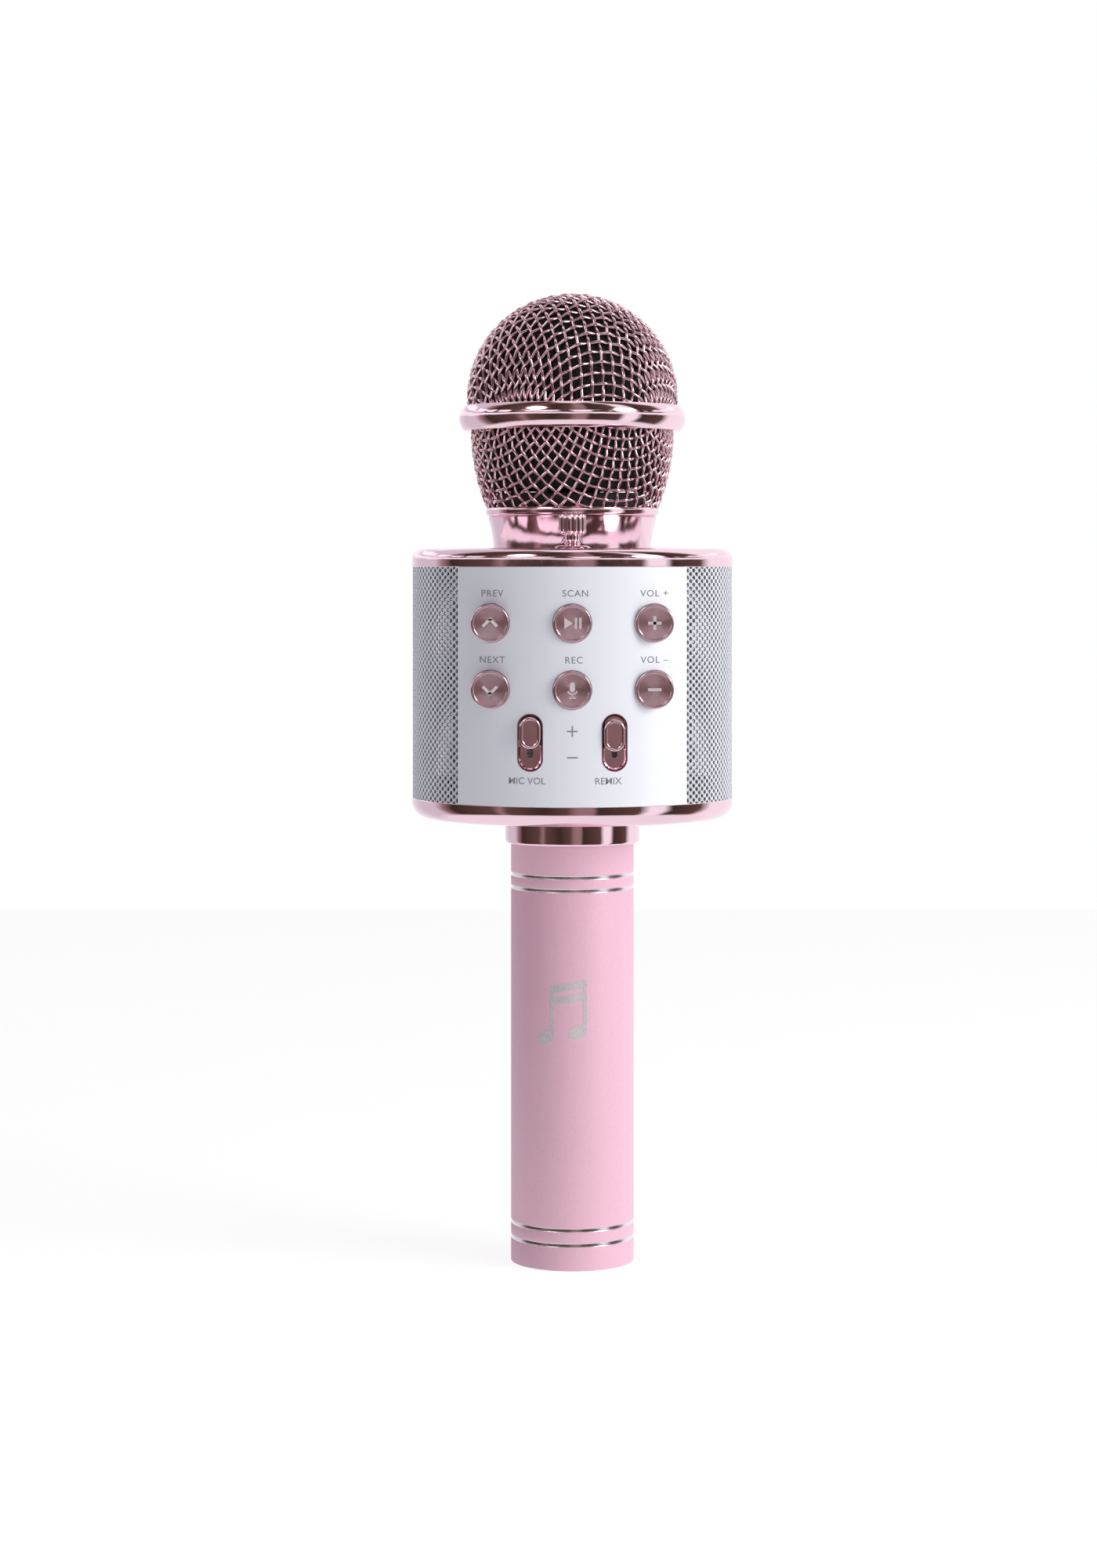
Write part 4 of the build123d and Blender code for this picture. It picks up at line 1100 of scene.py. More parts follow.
# ---- panels --------------------------------------------------------------------------------------
def panel_mesh(turn):
    """A curved panel as a closed shell, turned about the axis from the front."""
    columns, rows, edge = 90, 24, 0.25 * MM
    outer, inner = DRUM_RADIUS, DRUM_RADIUS - PANEL_WALL
    half = PANEL_HALF_ANGLE
    shape = bmesh.new()
    heights = [PANEL_LOW + (PANEL_HIGH - PANEL_LOW) * k / rows for k in range(rows + 1)]

    def point(radius, angle, height):
        return shape.verts.new((radius * math.sin(angle), -radius * math.cos(angle), height))

    grids = []
    for radius in (outer, inner):
        grid = []
        for k in range(columns + 1):
            angle = -half + 2 * half * k / columns
            reach = radius - edge if radius == outer and k in (0, columns) else radius
            grid.append([point(reach, angle + turn, height) for height in heights])
        grids.append(grid)
    front, back = grids
    for i in range(columns):
        for j in range(rows):
            shape.faces.new((front[i][j], front[i + 1][j], front[i + 1][j + 1], front[i][j + 1]))
            shape.faces.new((back[i][j], back[i][j + 1], back[i + 1][j + 1], back[i + 1][j]))
        shape.faces.new((front[i][0], back[i][0], back[i + 1][0], front[i + 1][0]))
        shape.faces.new((front[i][rows], front[i + 1][rows], back[i + 1][rows], back[i][rows]))
    for j in range(rows):
        shape.faces.new((front[0][j], front[0][j + 1], back[0][j + 1], back[0][j]))
        shape.faces.new((front[columns][j], back[columns][j], back[columns][j + 1], front[columns][j + 1]))
    bmesh.ops.recalc_face_normals(shape, faces=shape.faces)
    return plain_mesh("panel", shape)


BUTTONS = {
    "previous_button": "up", "play_button": "play", "volume_up_button": "plus",
    "next_button": "down", "record_button": "voice", "volume_down_button": "minus",
}
BUTTON_GAP = 0.14 * MM
TRAY_WALL = 0.5 * MM
LEGEND_RISE = 7.55 * MM
# Each button's words, and how far to the right of the button they stand.
LEGENDS = {
    "previous_button": ("PREV", 0.5 * MM), "play_button": ("SCAN", 0.8 * MM),
    "volume_up_button": ("VOL +", 0.0), "next_button": ("NEXT", 0.5 * MM),
    "record_button": ("REC", 0.4 * MM), "volume_down_button": ("VOL \u2013", 0.0),
}
PANEL_CUT = (20 * MM, DRUM_RADIUS + 2 * MM)    # how near and how far from the axis an opening is cut


TRAY_GAP = 0.06 * MM
SOCKET_GAP = 0.5 * MM
LIGHT_GAP = 0.2 * MM
JACK_HOLE = 2 * 3.25 * MM
KNOB_TRAVEL = 3.0 * MM


def front_size(node):
    """A node's width and height as they show in a panel."""
    size = high(node) - low(node)
    return size.x, size.z


def opening(points, x, z, start, end):
    return skin([face_loop(points, x, z, start), face_loop(points, x, z, end)])


def settle_panel(name, turn, cutters, node):
    """A pearl panel with its openings cut."""
    piece = cut(link_piece(name, panel_mesh(turn), "panel"), cutters)
    soften(piece.data, 25)
    settle(piece, CASING, "white_panel", node)


class MICROPHONE_OT_front_panel(bpy.types.Operator):
    """Build the pearl front panel with its button and slider openings"""

    bl_idname = "microphone.front_panel"
    bl_label = "Front panel"

    def execute(self, context):
        hole = 2 * (button_radius() + BUTTON_GAP)
        openings = [(outline(hole, hole, 96), node) for node in BUTTONS]
        for node in ("mic_volume_tray", "remix_tray"):
            width, height = front_size(node)
            openings.append((outline(width + TRAY_GAP, height + TRAY_GAP, 96), node))
        near, far = PANEL_CUT
        cutters = [opening(points, middle(node).x, middle(node).z, -far, -near) for points, node in openings]
        settle_panel("pearl_front_panel", 0.0, cutters, "front_panel")
        return {"FINISHED"}


class MICROPHONE_OT_rear_panel(bpy.types.Operator):
    """Build the pearl rear panel with its socket openings"""

    bl_idname = "microphone.rear_panel"
    bl_label = "Rear panel"

    def execute(self, context):
        openings = []
        for node in ("usb_socket", "charge_socket", "card_socket"):
            width, height = front_size(node)
            points = box_outline(width + SOCKET_GAP, height + SOCKET_GAP, 0.5 * MM)
            openings.append((points, middle(node).x, node))
        width, height = front_size("power_knob")
        slot = box_outline(width + KNOB_TRAVEL + SOCKET_GAP, height + SOCKET_GAP, 0.4 * MM)
        light = front_size("light_pipe")[0] + LIGHT_GAP
        openings += [(slot, 0.0, "power_knob"), (outline(JACK_HOLE, JACK_HOLE), 0.0, "aux_jack"),
                     (outline(light, light), middle("light_pipe").x, "light_pipe")]
        cutters = [opening(points, x, middle(node).z, *PANEL_CUT) for points, x, node in openings]
        settle_panel("pearl_rear_panel", math.pi, cutters, "rear_panel")
        return {"FINISHED"}


# ---- legends -------------------------------------------------------------------------------------
def words_mesh(words, x, z, height, spread=1.0):
    """Plain words wrapped on the front of the drum."""
    curve = bpy.data.curves.new("words", "FONT")
    curve.body = words
    curve.align_x = "CENTER"
    curve.size = height * 1.45
    curve.space_character = spread
    curve.offset = 0.006 * MM
    curve.resolution_u = 4
    holder = link_object("words", curve)
    flat = bpy.data.meshes.new_from_object(holder)
    bpy.data.objects.remove(holder)
    shape = bmesh.new()
    shape.from_mesh(flat)
    bmesh.ops.remove_doubles(shape, verts=shape.verts, dist=0.001 * MM)
    faces = list(shape.faces)
    for face in faces:
        if face.normal.z < 0:
            face.normal_flip()
    raised = bmesh.ops.extrude_face_region(shape, geom=faces)
    tops = {item for item in raised["geom"] if isinstance(item, bmesh.types.BMVert)}
    for vertex in shape.verts:
        lift = 0.03 * MM if vertex in tops else -0.02 * MM
        u, v = vertex.co.x + x, vertex.co.y - height / 2 + z
        vertex.co = (u, wall_at(u, lift), v)
    bmesh.ops.recalc_face_normals(shape, faces=shape.faces)
    return plain_mesh("words", shape)


class MICROPHONE_OT_legends(bpy.types.Operator):
    """Print the plain function words beside the buttons and sliders"""

    bl_idname = "microphone.legends"
    bl_label = "Legends"

    def execute(self, context):
        height = sizes().legend_height
        meshes = []
        for node, (words, shift) in LEGENDS.items():
            spot = middle(node)
            meshes.append(words_mesh(words, spot.x + shift, spot.z + LEGEND_RISE, height, 1.12))
        foot = low("mic_volume_tray").z - 2.3 * MM
        meshes.append(words_mesh("MIC VOL", middle("mic_volume_tray").x - 0.8 * MM, foot, height))
        meshes.append(words_mesh("REMIX", middle("remix_tray").x - 1.6 * MM, foot, height))
        centre = middle("mic_volume_tray").z
        signs = strip([(-1.35 * MM, centre + 2.9 * MM), (1.35 * MM, centre + 2.9 * MM)], 0.36 * MM, 6)
        signs += strip([(0, centre + 1.55 * MM), (0, centre + 4.25 * MM)], 0.36 * MM, 1)
        signs += strip([(-1.35 * MM, centre - 3.7 * MM), (1.35 * MM, centre - 3.7 * MM)], 0.36 * MM, 6)

        def place(u, v, w):
            return (u, wall_at(u, w - 0.02 * MM), v)

        meshes.append(prisms(signs, place, 0.05 * MM))
        settle(link_piece("printed_legends", joined(meshes), "ink"), CASING, "white_panel")
        return {"FINISHED"}


# ---- buttons -------------------------------------------------------------------------------------
def button_radius():
    return (high("play_button").x - low("play_button").x) / 2 - 0.55 * MM


def icon_shapes(kind):
    """Flat outlines of a button's icon, in metres about its centre."""
    thick = 0.75 * MM
    if kind in ("up", "down"):
        sign = 1 if kind == "up" else -1
        tip, foot = (0, 1.0 * sign * MM), -0.8 * sign * MM
        return (strip([(-1.8 * MM, foot), tip], thick, 1) + strip([tip, (1.8 * MM, foot)], thick, 1)
                + [[(0.6 * MM * math.cos(a), tip[1] + 0.5 * thick * math.sin(a))
                    for a in (math.radians(30 * k) for k in range(12))]])
    if kind in ("minus", "plus"):
        across = strip([(-1.7 * MM, 0), (1.7 * MM, 0)], thick, 1)
        return across + (strip([(0, -1.7 * MM), (0, 1.7 * MM)], thick, 1) if kind == "plus" else [])
    if kind == "play":
        triangle = [(-2.0 * MM, -1.4 * MM), (0.1 * MM, 0.0), (-2.0 * MM, 1.4 * MM)]
        bars = strip([(0.9 * MM, -1.4 * MM), (0.9 * MM, 1.4 * MM)], 0.6 * MM, 1)
        return [triangle] + bars + strip([(2.0 * MM, -1.4 * MM), (2.0 * MM, 1.4 * MM)], 0.6 * MM, 1)
    bowl = [(1.25 * MM * math.cos(a), 0.2 * MM + 1.25 * MM * math.sin(a))
            for a in (math.radians(200 + 14 * k) for k in range(11))]
    body = [(u, v + 0.75 * MM) for u, v in outline(1.3 * MM, 2.4 * MM, 20)]
    return [body] + strip(bowl, 0.35 * MM, 1) + strip([(0, -1.1 * MM), (0, -1.9 * MM)], 0.35 * MM, 1) + strip(
        [(-0.8 * MM, -1.95 * MM), (0.8 * MM, -1.95 * MM)], 0.35 * MM, 1)


def button_mesh(node):
    """A spun cap with a raised rim and a shallow dish, its flange and its polar map."""
    base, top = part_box(node)
    spot = middle(node)
    radius = button_radius()
    face, back = base.y, top.y
    flange, step = radius + 0.5 * MM, back - 0.9 * MM
    rim, slope, turn, dish, crown = 0.55 * MM, 0.22 * MM, 0.3 * MM, 0.32 * MM, 0.05 * MM
    hollow = radius - rim - slope
    section = [(flange, back), (flange, step), (radius, step), (radius, face + 0.45 * MM)]
    section += [(radius - turn + turn * math.cos(a), face + turn - turn * math.sin(a))
                for a in (math.radians(15 * k) for k in range(7))]
    section += [(radius - rim, face + 0.02 * MM), (hollow, face + dish)]
    section += [(hollow * (1 - k / 12), face + dish + crown * math.sin(math.pi * k / 24))
                for k in range(1, 12)]
    section.append((0.02 * MM, face + dish + crown))
    loops = [face_loop(outline(2 * r, 2 * r, 96), spot.x, spot.z, y) for r, y in section]
    bands = [r / radius + (face - y) / radius * 0.3 for r, y in section]
    mesh = skin(loops, bands=bands)
    soften(mesh, 28)
    return mesh


class MICROPHONE_OT_buttons(bpy.types.Operator):
    """Build the six spun metal buttons with their raised icons"""

    bl_idname = "microphone.buttons"
    bl_label = "Buttons"

    def execute(self, context):
        for node, kind in BUTTONS.items():
            settle(link_piece(f"spun_{node}", button_mesh(node), "spun"), node, "rose_plate", node)
            spot = middle(node)
            floor = low(node).y + 0.37 * MM

            def place(u, v, w, spot=spot, floor=floor):
                return (spot.x + u, floor - w, spot.z + v)

            mesh = prisms(icon_shapes(kind), place, sizes().relief + 0.05 * MM)
            settle(link_piece(f"icon_{node}", mesh, "icon"), node, "rose_plate")
        return {"FINISHED"}


# ---- volume sliders ------------------------------------------------------------------------------
def tray_mesh(node):
    """A plated tray: a rim that follows the panel, upright walls, and a slotted floor."""
    base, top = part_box(node)
    spot = middle(node)
    width, height = top.x - base.x, top.z - base.z
    floor_back = top.y
    floor = floor_back - 0.8 * MM
    inside = (width - 2 * TRAY_WALL, height - 2 * TRAY_WALL)
    slot = (1.44 * MM, 8.0 * MM)

    def sunk(x):
        return wall_at(x, -0.12 * MM)

    loops = [
        face_loop(outline(width, height), spot.x, spot.z, floor_back),
        face_loop(outline(width, height), spot.x, spot.z, sunk),
        face_loop(outline(width - 0.2 * MM, height - 0.2 * MM), spot.x, spot.z, wall_at),
        face_loop(outline(inside[0] + 0.2 * MM, inside[1] + 0.2 * MM), spot.x, spot.z, wall_at),
        face_loop(outline(*inside), spot.x, spot.z, sunk),
        face_loop(outline(*inside), spot.x, spot.z, floor - 0.4 * MM),
        face_loop(outline(inside[0] - 0.5 * MM, inside[1] - 0.5 * MM), spot.x, spot.z, floor),
        face_loop(outline(*slot), spot.x, spot.z, floor),
        face_loop(outline(*slot), spot.x, spot.z, floor_back),
    ]
    mesh = skin(loops, closed=True, bands=[0.1 * k for k in range(len(loops))])
    soften(mesh, 30)
    return mesh


def knob_mesh(node):
    """A stadium knob with a rounded light rim round a shallow hollow, and its lever behind."""
    base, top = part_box(node)
    spot = middle(node)
    width, height = top.x - base.x, top.z - base.z
    face, back = base.y, wall_at(spot.x) + 3.1 * MM
    loops, bands = [], []
    profile = [(0.0, back), (0.0, face + 0.42 * MM)]
    profile += [(0.4 * MM * (1 - math.cos(a)), face + 0.4 * MM * (1 - math.sin(a)))
                for a in (math.radians(15 * k) for k in range(1, 7))]
    profile += [(0.62 * MM, face), (0.72 * MM, face + 0.04 * MM), (0.80 * MM, face + 0.18 * MM),
                (width / 2 - 0.1 * MM, face + 0.18 * MM)]
    for inset, y in profile:
        loops.append(face_loop(outline(width - 2 * inset, height - 2 * inset), spot.x, spot.z, y))
        bands.append(1.0 - 0.5 * inset / (width / 2))
    body = skin(loops, bands=bands)
    lever = skin([face_loop(box_outline(1.2 * MM, 2.4 * MM, 0.2 * MM), spot.x, spot.z, y)
                  for y in (back - 0.1 * MM, top.y)])
    mesh = joined([body, lever])
    soften(mesh, 30)
    return mesh


class MICROPHONE_OT_sliders(bpy.types.Operator):
    """Build the two plated slider trays and their knobs"""

    bl_idname = "microphone.sliders"
    bl_label = "Volume sliders"

    def execute(self, context):
        for tray, knob, body in (("mic_volume_tray", "mic_volume_knob", "mic_volume_slider"),
                                 ("remix_tray", "remix_knob", "remix_slider")):
            settle(link_piece(f"plated_{tray}", tray_mesh(tray), "plating"), CASING, "rose_plate", tray)
            settle(link_piece(f"plated_{knob}", knob_mesh(knob), "plating"), body, "rose_plate", knob)
        return {"FINISHED"}


# ---- grilles -------------------------------------------------------------------------------------
def sheet_cell(across, up, hole, thickness):
    """One lozenge of sheet round one hole, as a closed ring of quads without its outer edge."""
    half_x, half_y = across / 2, up / 2
    corners = [(half_x, 0), (0, half_y), (-half_x, 0), (0, -half_y)]
    rim = []
    for (x0, y0), (x1, y1) in zip(corners, corners[1:] + corners[:1]):
        rim += [(x0 + (x1 - x0) * k / 3, y0 + (y1 - y0) * k / 3) for k in range(3)]
    steps = len(rim)
    circle = [(hole / 2 * math.cos(2 * math.pi * k / steps), hole / 2 * math.sin(2 * math.pi * k / steps))
              for k in range(steps)]
    levels = (0.0, -thickness)
    points = [(x, y, z) for z in levels for loop in (rim, circle) for x, y in loop]
    faces = []
    for k in range(steps):
        n = (k + 1) % steps
        faces.append((k, n, steps + n, steps + k))
        faces.append((2 * steps + k, 3 * steps + k, 3 * steps + n, 2 * steps + n))
        faces.append((steps + k, steps + n, 3 * steps + n, 3 * steps + k))
    mesh = bpy.data.meshes.new("cell")
    mesh.from_pydata(points, [], faces)
    return mesh


class MICROPHONE_OT_grilles(bpy.types.Operator):
    """Perforate and bend the two side grilles"""

    bl_idname = "microphone.grilles"
    bl_label = "Grilles"

    def execute(self, context):
        rows, columns = sizes().hole_rows, sizes().hole_columns
        outer = high("right_grille").x
        tucked = math.radians(1.2)
        width = (math.pi - 2 * PANEL_HALF_ANGLE + 2 * tucked) * outer
        height = PANEL_HIGH - PANEL_LOW
        across, up = width / (columns - 1), height / (rows - 1)
        tree = perforated_tree()
        for node, side in (("left_grille", -1), ("right_grille", 1)):
            cell = sheet_cell(across, up, sizes().hole_diameter, sizes().sheet_thickness)
            piece = grow(f"perforated_{node}", cell, tree, "sheet", Rows=rows, Columns=columns, Width=width,
                         Height=height, Low=PANEL_LOW, Radius=outer, Turn=side * math.pi / 2)
            close_edges(piece.data)
            soften(piece.data, 40)
            settle(piece, CASING, "grille_steel", node)
        return {"FINISHED"}


def close_edges(mesh):
    """Fill the open outer edge of a sheet between its two faces."""
    shape = bmesh.new()
    shape.from_mesh(mesh)
    edges = [edge for edge in shape.edges if edge.is_boundary]
    bmesh.ops.bridge_loops(shape, edges=edges)
    bmesh.ops.recalc_face_normals(shape, faces=shape.faces)
    shape.to_mesh(mesh)
    shape.free()


# ---- woven head ----------------------------------------------------------------------------------
def ball_surface(centre, radius):
    """A ball as a function that gives a point's miss and the slope there."""
    def surface(point):
        away = point - centre
        return away.length_squared - radius ** 2, 2 * away
    return surface


def meet(surface, guess, checks):
    """The point near guess that lies on the surface and meets two more checks."""
    point = guess.copy()
    for _ in range(25):
        miss, slope = surface(point)
        misses, slopes = [miss], [slope]
        for check in checks:
            value, direction = check(point)
            misses.append(value)
            slopes.append(direction)
        table = Matrix(slopes)
        if abs(table.determinant()) < 1e-18:
            return None
        step = table.inverted() @ Vector(misses)
        if step.length > 3 * MM:
            step = step.normalized() * 3 * MM
        point = point - step
    return point if step.length < 0.01 * MM else None


def at_pitch(other, pitch):
    def check(point):
        away = point - other
        return away.length_squared - pitch ** 2, 2 * away
    return check


def in_plane(normal):
    def check(point):
        return point.dot(normal), normal
    return check


def cloth_net(surface, pole, pitch, count, stop):
    """The knots of a square weave pressed over a surface, one quarter of it, keyed by column and row."""
    knots = {(0, 0): pole}
    x_plane, y_plane = in_plane(Vector((0, 1, 0))), in_plane(Vector((1, 0, 0)))
    for k in range(1, count):
        for key, back, plane, nudge in (((k, 0), (k - 1, 0), x_plane, Vector((1, 0, 0))),
                                        ((0, k), (0, k - 1), y_plane, Vector((0, 1, 0)))):
            if back not in knots or stop(knots[back]):
                continue
            last = knots[back]
            before = knots.get((max(key[0] - 2, 0), max(key[1] - 2, 0)))
            guess = 2 * last - before if k > 1 else last + nudge * pitch
            found = meet(surface, guess, (plane, at_pitch(last, pitch)))
            if found is not None:
                knots[key] = found
    for i in range(1, count):
        for j in range(1, count):
            first, second, corner = knots.get((i - 1, j)), knots.get((i, j - 1)), knots.get((i - 1, j - 1))
            if first is None or second is None or corner is None or (stop(first) and stop(second)):
                continue
            found = meet(surface, first + second - corner, (at_pitch(first, pitch), at_pitch(second, pitch)))
            if found is not None and (found - corner).length > 0.4 * pitch:
                knots[(i, j)] = found
    return knots


def drawn_net(rows, count):
    """The knots of a square weave spread evenly down the cup, where rows gives its rows at the two ends."""
    knots = {}
    for i in range(-count, count + 1):
        for j in range(-count, count + 1):
            share = (math.hypot(i, j) - rows[0]) / (rows[1] - rows[0])
            if share > CUP_NET_START:
                height = RIM_TOP + (CUP_TOP - RIM_TOP) * share
                bearing = Vector((i, j, 0)).normalized()
                knots[(i, j)] = bearing * cup_radius(min(height, CUP_TOP)) + Vector((0, 0, height))
    return knots


def full_net(quarter):
    """All four quarters of a net from one."""
    knots = {}
    for (i, j), point in quarter.items():
        for si in (1, -1):
            for sj in (1, -1):
                knots[(si * i, sj * j)] = Vector((si * point.x, sj * point.y, point.z))
    return knots


def wire_lines(knots, bottom, top):
    """Each wire as a run of (point, side) pairs between two levels; side says over or under."""
    lines = []
    reach = max(max(abs(i), abs(j)) for i, j in knots)
    for along_first in (True, False):
        for fixed in range(-reach, reach + 1):
            run = []
            for moving in range(-reach, reach + 1):
                key = (moving, fixed) if along_first else (fixed, moving)
                side = 1 if (moving + fixed) % 2 == 0 else -1
                run.append((knots.get(key), side if along_first else -side))
            lines += clipped(run, bottom, top)
    return lines


def clipped(run, bottom, top):
    """Cut a run of knots at two levels, with the cut ends on the levels themselves."""
    pieces, current, last = [], [], None

    def inside(point):
        return bottom <= point.z <= top

    def crossing(a, b):
        level = bottom if min(a.z, b.z) < bottom else top
        share = (level - a.z) / (b.z - a.z)
        return a.lerp(b, share)

    for point, side in run:
        if point is None:
            pieces.append(current)
            current = []
        elif inside(point):
            if last is not None and not inside(last):
                current.append((crossing(last, point), 0))
            current.append((point, side))
        elif last is not None and inside(last):
            current.append((crossing(last, point), 0))
            pieces.append(current)
            current = []
        last = point
    pieces.append(current)
    return [piece for piece in pieces if len(piece) > 1]


def guide_mesh(lines, reshape, turn):
    """Wire lines as edges, each point with the direction in which it is lifted."""
    points, edges, lifts = [], [], []
    rotation = Matrix.Rotation(turn, 3, "Z")
    for line in lines:
        previous = None
        for k, (point, side) in enumerate(line):
            spots = [(point, side)]
            if k:
                spots.insert(0, ((line[k - 1][0] + point) / 2, 0))
            for spot, lift in spots:
                placed, outward = reshape(rotation @ spot)
                points.append(placed)
                lifts.append(outward * lift)
                if previous is not None:
                    edges.append((previous, len(points) - 1))
                previous = len(points) - 1
    mesh = bpy.data.meshes.new("guides")
    mesh.from_pydata(points, edges, [])
    attribute = mesh.attributes.new("lift", "FLOAT_VECTOR", "POINT")
    for item, lift in zip(attribute.data, lifts):
        item.vector = lift
    return mesh


def cup_radius(height):
    """The cup's outer radius at a height: one arc that stands upright at the cup's top."""
    base, top = radius_at("mesh_cup", RIM_TOP), radius_at("mesh_cup", CUP_TOP)
    rise, offset = CUP_TOP - RIM_TOP, top - base
    sweep = (rise ** 2 + offset ** 2) / (2 * offset)
    return top - sweep + math.sqrt(sweep ** 2 - (CUP_TOP - height) ** 2)


DOME_TURN = math.radians(17)
CUP_TURN = math.radians(30)
CUP_ROWS = (6.5, 14.1)    # rows of the cup's net at its foot and at its top
CUP_NET_REACH = 18
CUP_NET_START = -0.3    # where the net starts, as a share of the cup's height, below its foot
RING_TUCK = 1.4 * MM


class MICROPHONE_OT_wire_head(bpy.types.Operator):
    """Weave the wire dome and the wire cup"""

    bl_idname = "microphone.wire_head"
    bl_label = "Woven wire"

    def execute(self, context):
        wire = sizes().wire_diameter
        pitch = sizes().wire_pitch
        tree = woven_tree()
        values = {"Weave": wire * 0.48, "Wire radius": wire / 2, "Sides": 7}
        centre = Vector((0, 0, DOME_CENTRE))
        ball = DOME_RADIUS - wire
        foot = RING_TOP - RING_TUCK
        quarter = cloth_net(ball_surface(centre, ball), centre + Vector((0, 0, ball)), pitch, 24,
                            lambda point: point.z < foot)
        lines = wire_lines(full_net(quarter), foot, DOME_TOP)

        def on_ball(point):
            outward = (point - centre).normalized()
            return centre + outward * ball, outward

        piece = grow("woven_dome", guide_mesh(lines, on_ball, DOME_TURN), tree, "wire", **values)
        settle(piece, HEAD, "bright_wire", "mesh_dome")

        lines = wire_lines(drawn_net(CUP_ROWS, CUP_NET_REACH), RIM_TOP - MM, CUP_TOP + RING_TUCK)

        def on_cup(point):
            outward = Vector((point.x, point.y, 0)).normalized()
            reach = cup_radius(min(point.z, CUP_TOP)) - wire
            return outward * reach + Vector((0, 0, point.z)), outward

        piece = grow("woven_cup", guide_mesh(lines, on_cup, CUP_TURN), tree, "wire", **values)
        settle(piece, HEAD, "bright_wire", "mesh_cup")
        return {"FINISHED"}


class MICROPHONE_OT_foam(bpy.types.Operator):
    """Build the foam windscreen that shows dark between the wires"""

    bl_idname = "microphone.foam"
    bl_label = "Foam windscreen"

    def execute(self, context):
        base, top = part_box("foam_windscreen")
        inset = 2 * sizes().wire_diameter + 0.1 * MM
        ball = DOME_RADIUS - inset
        bore = 9.3 * MM
        ceiling = top.z - 20 * MM
        section = [(bore, base.z), (cup_radius(base.z) - inset, base.z)]
        steps = 24
        section += [(cup_radius(z) - inset, z) for z in
                    (base.z + (CUP_TOP - base.z) * k / steps for k in range(1, steps + 1))]
        waist = section[-1][0]
        start = math.degrees(math.acos(waist / ball))
        section += arc((0, DOME_CENTRE), ball, start, 89.6, 30)
        section += [(0.05 * MM, ceiling), (bore - 1 * MM, ceiling), (bore, ceiling - 1 * MM)]
        piece = turned("foam_ball", section, "foam", 128)
        settle(piece, HEAD, "black_foam", "foam_windscreen")
        return {"FINISHED"}


# ---- strap post ----------------------------------------------------------------------------------
class MICROPHONE_OT_strap_post(bpy.types.Operator):
    """Build the fluted strap post in front of the neck"""

    bl_idname = "microphone.strap_post"
    bl_label = "Strap post"

    def execute(self, context):
        base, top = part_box("strap_post")
        spot = middle("strap_post")
        flutes, per_flute = 14, 10
        steps = flutes * per_flute

        def loop(radius, rise, depth=0.0):
            points = []
            for k in range(steps):
                angle = 2 * math.pi * k / steps
                wave = 0.5 - 0.5 * math.cos(flutes * angle)
                reach = radius - depth * wave ** 2
                points.append((spot.x + reach * math.cos(angle), spot.y + reach * math.sin(angle),
                               base.z + rise))
            return points

        foot, waist, head, tall = (top.x - base.x) / 2, 1.85 * MM, 3.5 * MM, top.z - base.z
        flute = 0.42 * MM
        loops = [loop(foot, 0.0), loop(foot, 0.35 * MM), loop(foot - 0.3 * MM, 0.6 * MM)]
        for k in range(1, 11):
            share = k / 10
            radius = waist + (foot - 0.3 * MM - waist) * (1 - share) ** 2.6
            loops.append(loop(radius, 0.6 * MM + 1.6 * MM * share))
        loops += [loop(waist, 3.3 * MM), loop(head - 0.7 * MM, 3.55 * MM),
                  loop(head - 0.15 * MM, 3.9 * MM, flute), loop(head, 4.3 * MM, flute),
                  loop(head, tall - 1.0 * MM, flute)]
        loops += [loop(head - 0.9 * MM * (1 - math.cos(a)), tall - 1.0 * MM + 0.9 * MM * math.sin(a),
                       flute * math.cos(a)) for a in (math.radians(18 * k) for k in range(1, 6))]
        loops += [loop(head * 0.45, tall), loop(0.1 * MM, tall)]
        mesh = skin(loops)
        soften(mesh, 35)
        settle(link_piece("fluted_strap_post", mesh, "plating"), CASING, "rose_plate", "strap_post")
        return {"FINISHED"}


# ---- pieces that keep their CAD shape ------------------------------------------------------------
KEPT_FINISHES = {
    "end_plug": "black", "battery_cradle": "black", "battery_cell": "cell", "battery_leads": "sleeve",
    "lower_frame": "black", "upper_frame": "black", "key_board": "board", "tact_switches": "black",
    "slide_pots": "tin", "key_ribbon": "film", "main_board": "board", "usb_socket": "tin",
    "charge_socket": "tin", "card_socket": "tin", "aux_jack": "black", "power_switch": "black",
    "power_knob": "black", "light_pipe": "light", "speaker_leads": "sleeve", "capsule_stem": "black",
    "capsule_boot": "rubber", "capsule": "can", "capsule_lead": "sleeve",
}
SPEAKER_FINISHES = {"baffle": "black", "basket": "dark_steel", "magnet": "ferrite", "cone": "paper"}


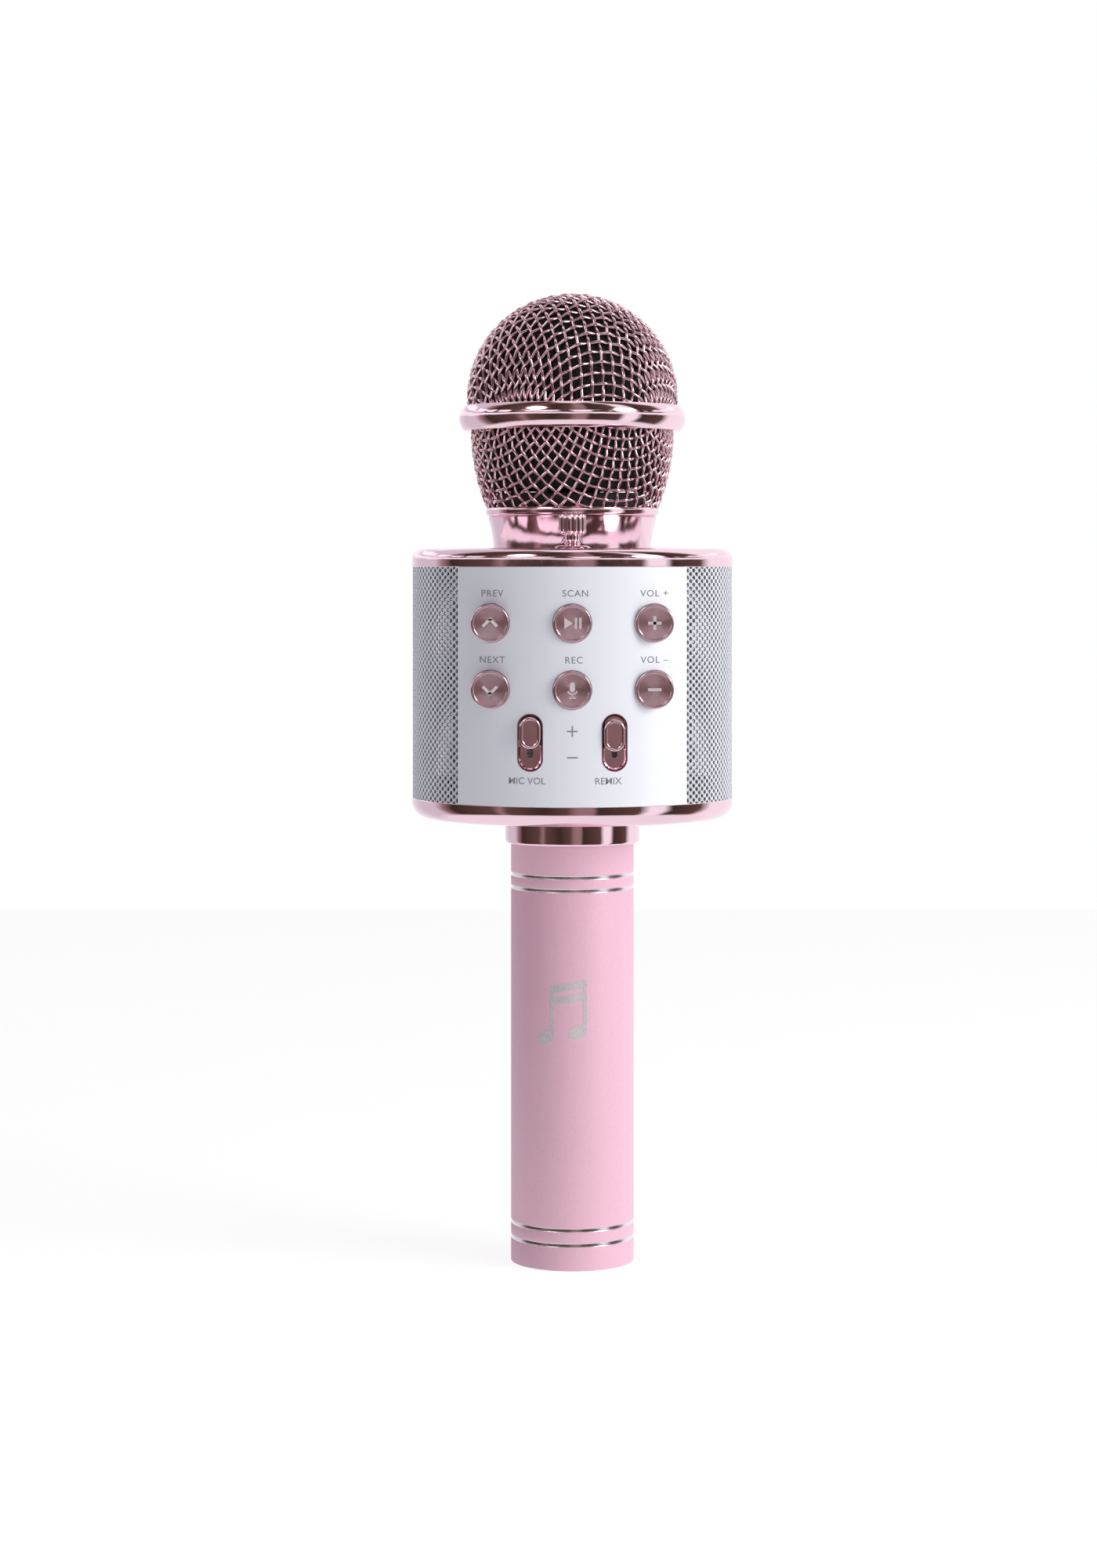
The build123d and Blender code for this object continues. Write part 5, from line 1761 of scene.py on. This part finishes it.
class MICROPHONE_OT_inner_finishes(bpy.types.Operator):
    """Give the sockets, boards, speakers and other kept pieces their finishes"""

    bl_idname = "microphone.inner_finishes"
    bl_label = "Finishes of the inner pieces"

    def execute(self, context):
        finishes = dict(KEPT_FINISHES)
        for side in ("left", "right"):
            for part, finish in SPEAKER_FINISHES.items():
                finishes[f"{side}_speaker_{part}"] = finish
        for node, finish in finishes.items():
            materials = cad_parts[node].data.materials
            materials.clear()
            materials.append(finish_named(finish))
        return {"FINISHED"}


# ---- panel in the sidebar, and the run -----------------------------------------------------------
OPERATORS = (
    MICROPHONE_OT_stage, MICROPHONE_OT_inner_finishes, MICROPHONE_OT_handle, MICROPHONE_OT_motif,
    MICROPHONE_OT_plated, MICROPHONE_OT_screws, MICROPHONE_OT_front_panel, MICROPHONE_OT_rear_panel,
    MICROPHONE_OT_legends, MICROPHONE_OT_buttons, MICROPHONE_OT_sliders, MICROPHONE_OT_grilles,
    MICROPHONE_OT_wire_head, MICROPHONE_OT_foam, MICROPHONE_OT_strap_post,
)


class MICROPHONE_PT_sidebar(bpy.types.Panel):
    """The microphone's settings and building steps"""

    bl_idname = "MICROPHONE_PT_sidebar"
    bl_label = "Microphone"
    bl_space_type = "VIEW_3D"
    bl_region_type = "UI"
    bl_category = "Microphone"

    def draw(self, context):
        for group in (context.scene.microphone_colours, context.scene.microphone_sizes):
            for label in group.__annotations__:
                self.layout.prop(group, label)
        for operator in OPERATORS:
            self.layout.operator(operator.bl_idname)


CLASSES = (MicrophoneColours, MicrophoneSizes, *OPERATORS, MICROPHONE_PT_sidebar)


def register():
    for item in CLASSES:
        bpy.utils.register_class(item)
    bpy.types.Scene.microphone_colours = PointerProperty(type=MicrophoneColours)
    bpy.types.Scene.microphone_sizes = PointerProperty(type=MicrophoneSizes)


def unregister():
    del bpy.types.Scene.microphone_sizes
    del bpy.types.Scene.microphone_colours
    for item in reversed(CLASSES):
        bpy.utils.unregister_class(item)


def main():
    register()
    for operator in OPERATORS:
        space, name = operator.bl_idname.split(".")
        getattr(getattr(bpy.ops, space), name)()


if __name__ == "__main__":
    main()
